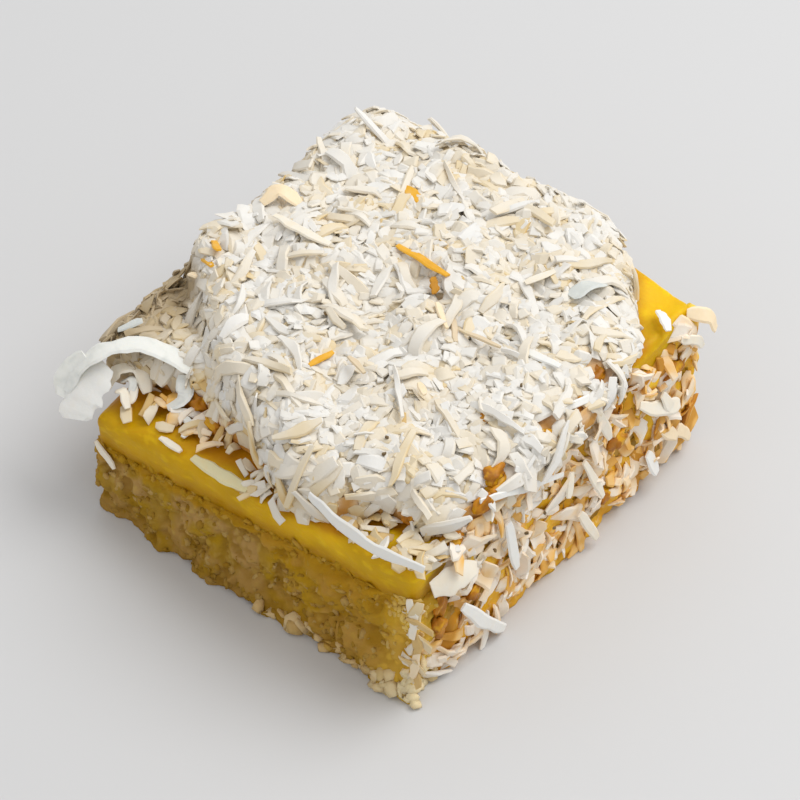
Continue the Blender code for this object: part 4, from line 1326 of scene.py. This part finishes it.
def make_strips():
    rng = random.Random(41)
    bm = bmesh.new()
    bm.verts.layers.float.new("rim")
    bm.verts.layers.float.new("tone")
    for strip in STRIPS:
        lay_strip(bm, rng, *strip)
    for x, y, z in SPECKS:
        reach = Vector((rng.uniform(-1, 1), rng.uniform(-1, 1), 0)).normalized() * SPECK_REACH
        lay_strip(bm, rng, SPECK, SPECK_WIDTH, UP, Vector((x, y, z)) - reach, Vector((x, y, z)) + reach)
    strips = linked("single_strips", finished_mesh("single_strips", bm))
    strips.data.set_sharp_from_angle(angle=FLAKE_CREASE)
    strips.data.materials.append(strip_finish())
    return strips


def patches(name, *quads):
    """Loose four-cornered patches, in millimetres, that stray flakes are strewn over."""
    bm = bmesh.new()
    for quad in quads:
        bm.faces.new([bm.verts.new(Vector(corner) * MM) for corner in quad])
    patch = linked(name, plain_mesh(name, bm))
    give_values(patch, "cover", lambda co, n: 1.0)
    return patch


put_in_frame(make_strips(), "coconut_topping")
stray_shapes = flake_set("stray_shapes", 42, 8, 3.2, 1.7, 4, 0.32)


def strays(name, slot, surface, density, seed, finish):
    """Flakes strewn over a surface that isn't itself shown."""
    made = strewn(
        name, surface, stray_shapes, finish, density, seed,
        sizes=((0.6, 0.6, 0.9), (1.2, 1.2, 1.3)), tilt=(0.5, 0.4, math.pi), lift=(0, 0.5), bend=(0.8, 3),
    )
    bpy.data.objects.remove(surface)
    put_in_frame(made, slot)


on_curd = patches(
    "on_curd",
    ((-28, -30, 18.2), (-17, -30, 19.5), (-15, -24, 20), (-28, -24, 18.8)),
    ((-17, -27.6, 19.8), (2, -29.6, 21), (2, -27, 21.4), (-16, -24, 20.6)),
)
left_shelf = patches(
    "left_shelf",
    ((-33.8, -24, 20.6), (-31.6, -24, 24), (-31.4, -17, 25), (-33.8, -17, 21.6)),
    ((-33.8, -17, 21.6), (-31.4, -17, 25), (-31, -8, 27.2), (-33.2, -8, 23.6)),
)
front_clump = patches(
    "front_clump",
    ((-4, -27.6, 21.2), (-3, -30.8, 19.6), (6, -31.4, 20.6), (6, -28.6, 22.4)),
    ((25.8, -18, 25.2), (28.9, -18, 24.6), (28.9, -12, 25), (26.6, -12, 27.6)),
)
left_band = patches("left_band", ((-22, -26.2, 19.3), (-8, -28.4, 20.2), (-7, -26, 20.9), (-22, -23.2, 20)))
corner_band = patches("corner_band", ((25.8, -31.4, 3), (28.6, -31, 3), (28.6, -30.8, 17), (27.2, -31, 17)))
near_corner = patches("near_corner", ((6, -30, 21.8), (27.5, -30.2, 23.4), (27.5, -23, 24.2), (12, -26, 23)))
strays("curd_flakes", "coconut_topping", on_curd, 0.08, 42, flesh)
strays("left_band_flakes", "coconut_topping", left_band, 0.3, 52, toasted)
strays("shelf_flakes", "coconut_topping", left_shelf, 0.4, 47, flesh)
strays("clump_flakes", "coconut_topping", front_clump, 0.5, 48, flesh)
strays("band_flakes", "toasted_edge", corner_band, 0.5, 49, flesh)
strays("corner_flakes", "coconut_topping", near_corner, 0.4, 45, flesh)
strays("spilt_flakes", "toasted_edge", spill, 0.3, 44, flesh)
drop_shapes(stray_shapes)


# The studio
# A plain pale table, a broad soft light from the right and behind, as from a window, and a pale room round
# it. The camera stands where the photographer's did.

CAMERA_AZIMUTH, CAMERA_ELEVATION = math.radians(39.08), math.radians(44.77)
CAMERA_DISTANCE = 0.45
CAMERA_LENS, SENSOR = 146.25, 36
TARGET = Vector((0, 0, 12 * MM)) + SHIFT
PICTURE = 800
TARGET_PIXEL = (399.8, 410.1)
FLOOR_SIZE, FLOOR_GREY, FLOOR_ROUGHNESS = 1.5, (0.60, 0.60, 0.602, 1), 0.55
ROOM_STRENGTH = 0.72


def soft_light(name, direction, distance, size, watts):
    data = bpy.data.lights.new(name, "AREA")
    data.shape = "DISK"
    data.size = size
    data.energy = watts
    data.color = (1.0, 1.0, 1.0)
    lamp = linked(name, data)
    towards = Vector(direction).normalized()
    lamp.location = TARGET + towards * distance
    lamp.rotation_mode = "QUATERNION"
    lamp.rotation_quaternion = towards.to_track_quat("Z", "Y")


def make_floor():
    bm = bmesh.new()
    bmesh.ops.create_grid(bm, x_segments=1, y_segments=1, size=FLOOR_SIZE)
    mesh = plain_mesh("floor", bm)
    floor = linked("floor", mesh)
    material = bpy.data.materials.new("pale_floor")
    material.use_nodes = True
    shader = material.node_tree.nodes["Principled BSDF"]
    shader.inputs["Base Color"].default_value = FLOOR_GREY
    shader.inputs["Roughness"].default_value = FLOOR_ROUGHNESS
    mesh.materials.append(material)


def make_camera():
    data = bpy.data.cameras.new("camera")
    data.lens = CAMERA_LENS
    data.sensor_width = SENSOR
    data.shift_x = (PICTURE / 2 - TARGET_PIXEL[0]) / PICTURE
    data.shift_y = (TARGET_PIXEL[1] - PICTURE / 2) / PICTURE
    camera = linked("camera", data)
    flat = math.cos(CAMERA_ELEVATION)
    back = Vector(
        (math.sin(CAMERA_AZIMUTH) * flat, -math.cos(CAMERA_AZIMUTH) * flat, math.sin(CAMERA_ELEVATION))
    )
    camera.location = TARGET + back * CAMERA_DISTANCE
    camera.rotation_mode = "QUATERNION"
    camera.rotation_quaternion = back.to_track_quat("Z", "Y")
    bpy.context.scene.camera = camera


def make_room_light():
    world = bpy.data.worlds.new("room")
    bpy.context.scene.world = world
    world.use_nodes = True
    background = world.node_tree.nodes["Background"]
    background.inputs["Color"].default_value = (1.0, 1.0, 1.0, 1)
    background.inputs["Strength"].default_value = ROOM_STRENGTH


make_floor()
make_room_light()
soft_light("window", direction=(0.33, 0.5, 0.95), distance=0.7, size=0.55, watts=3.2)
make_camera()
bpy.context.scene.view_settings.view_transform = "Standard"
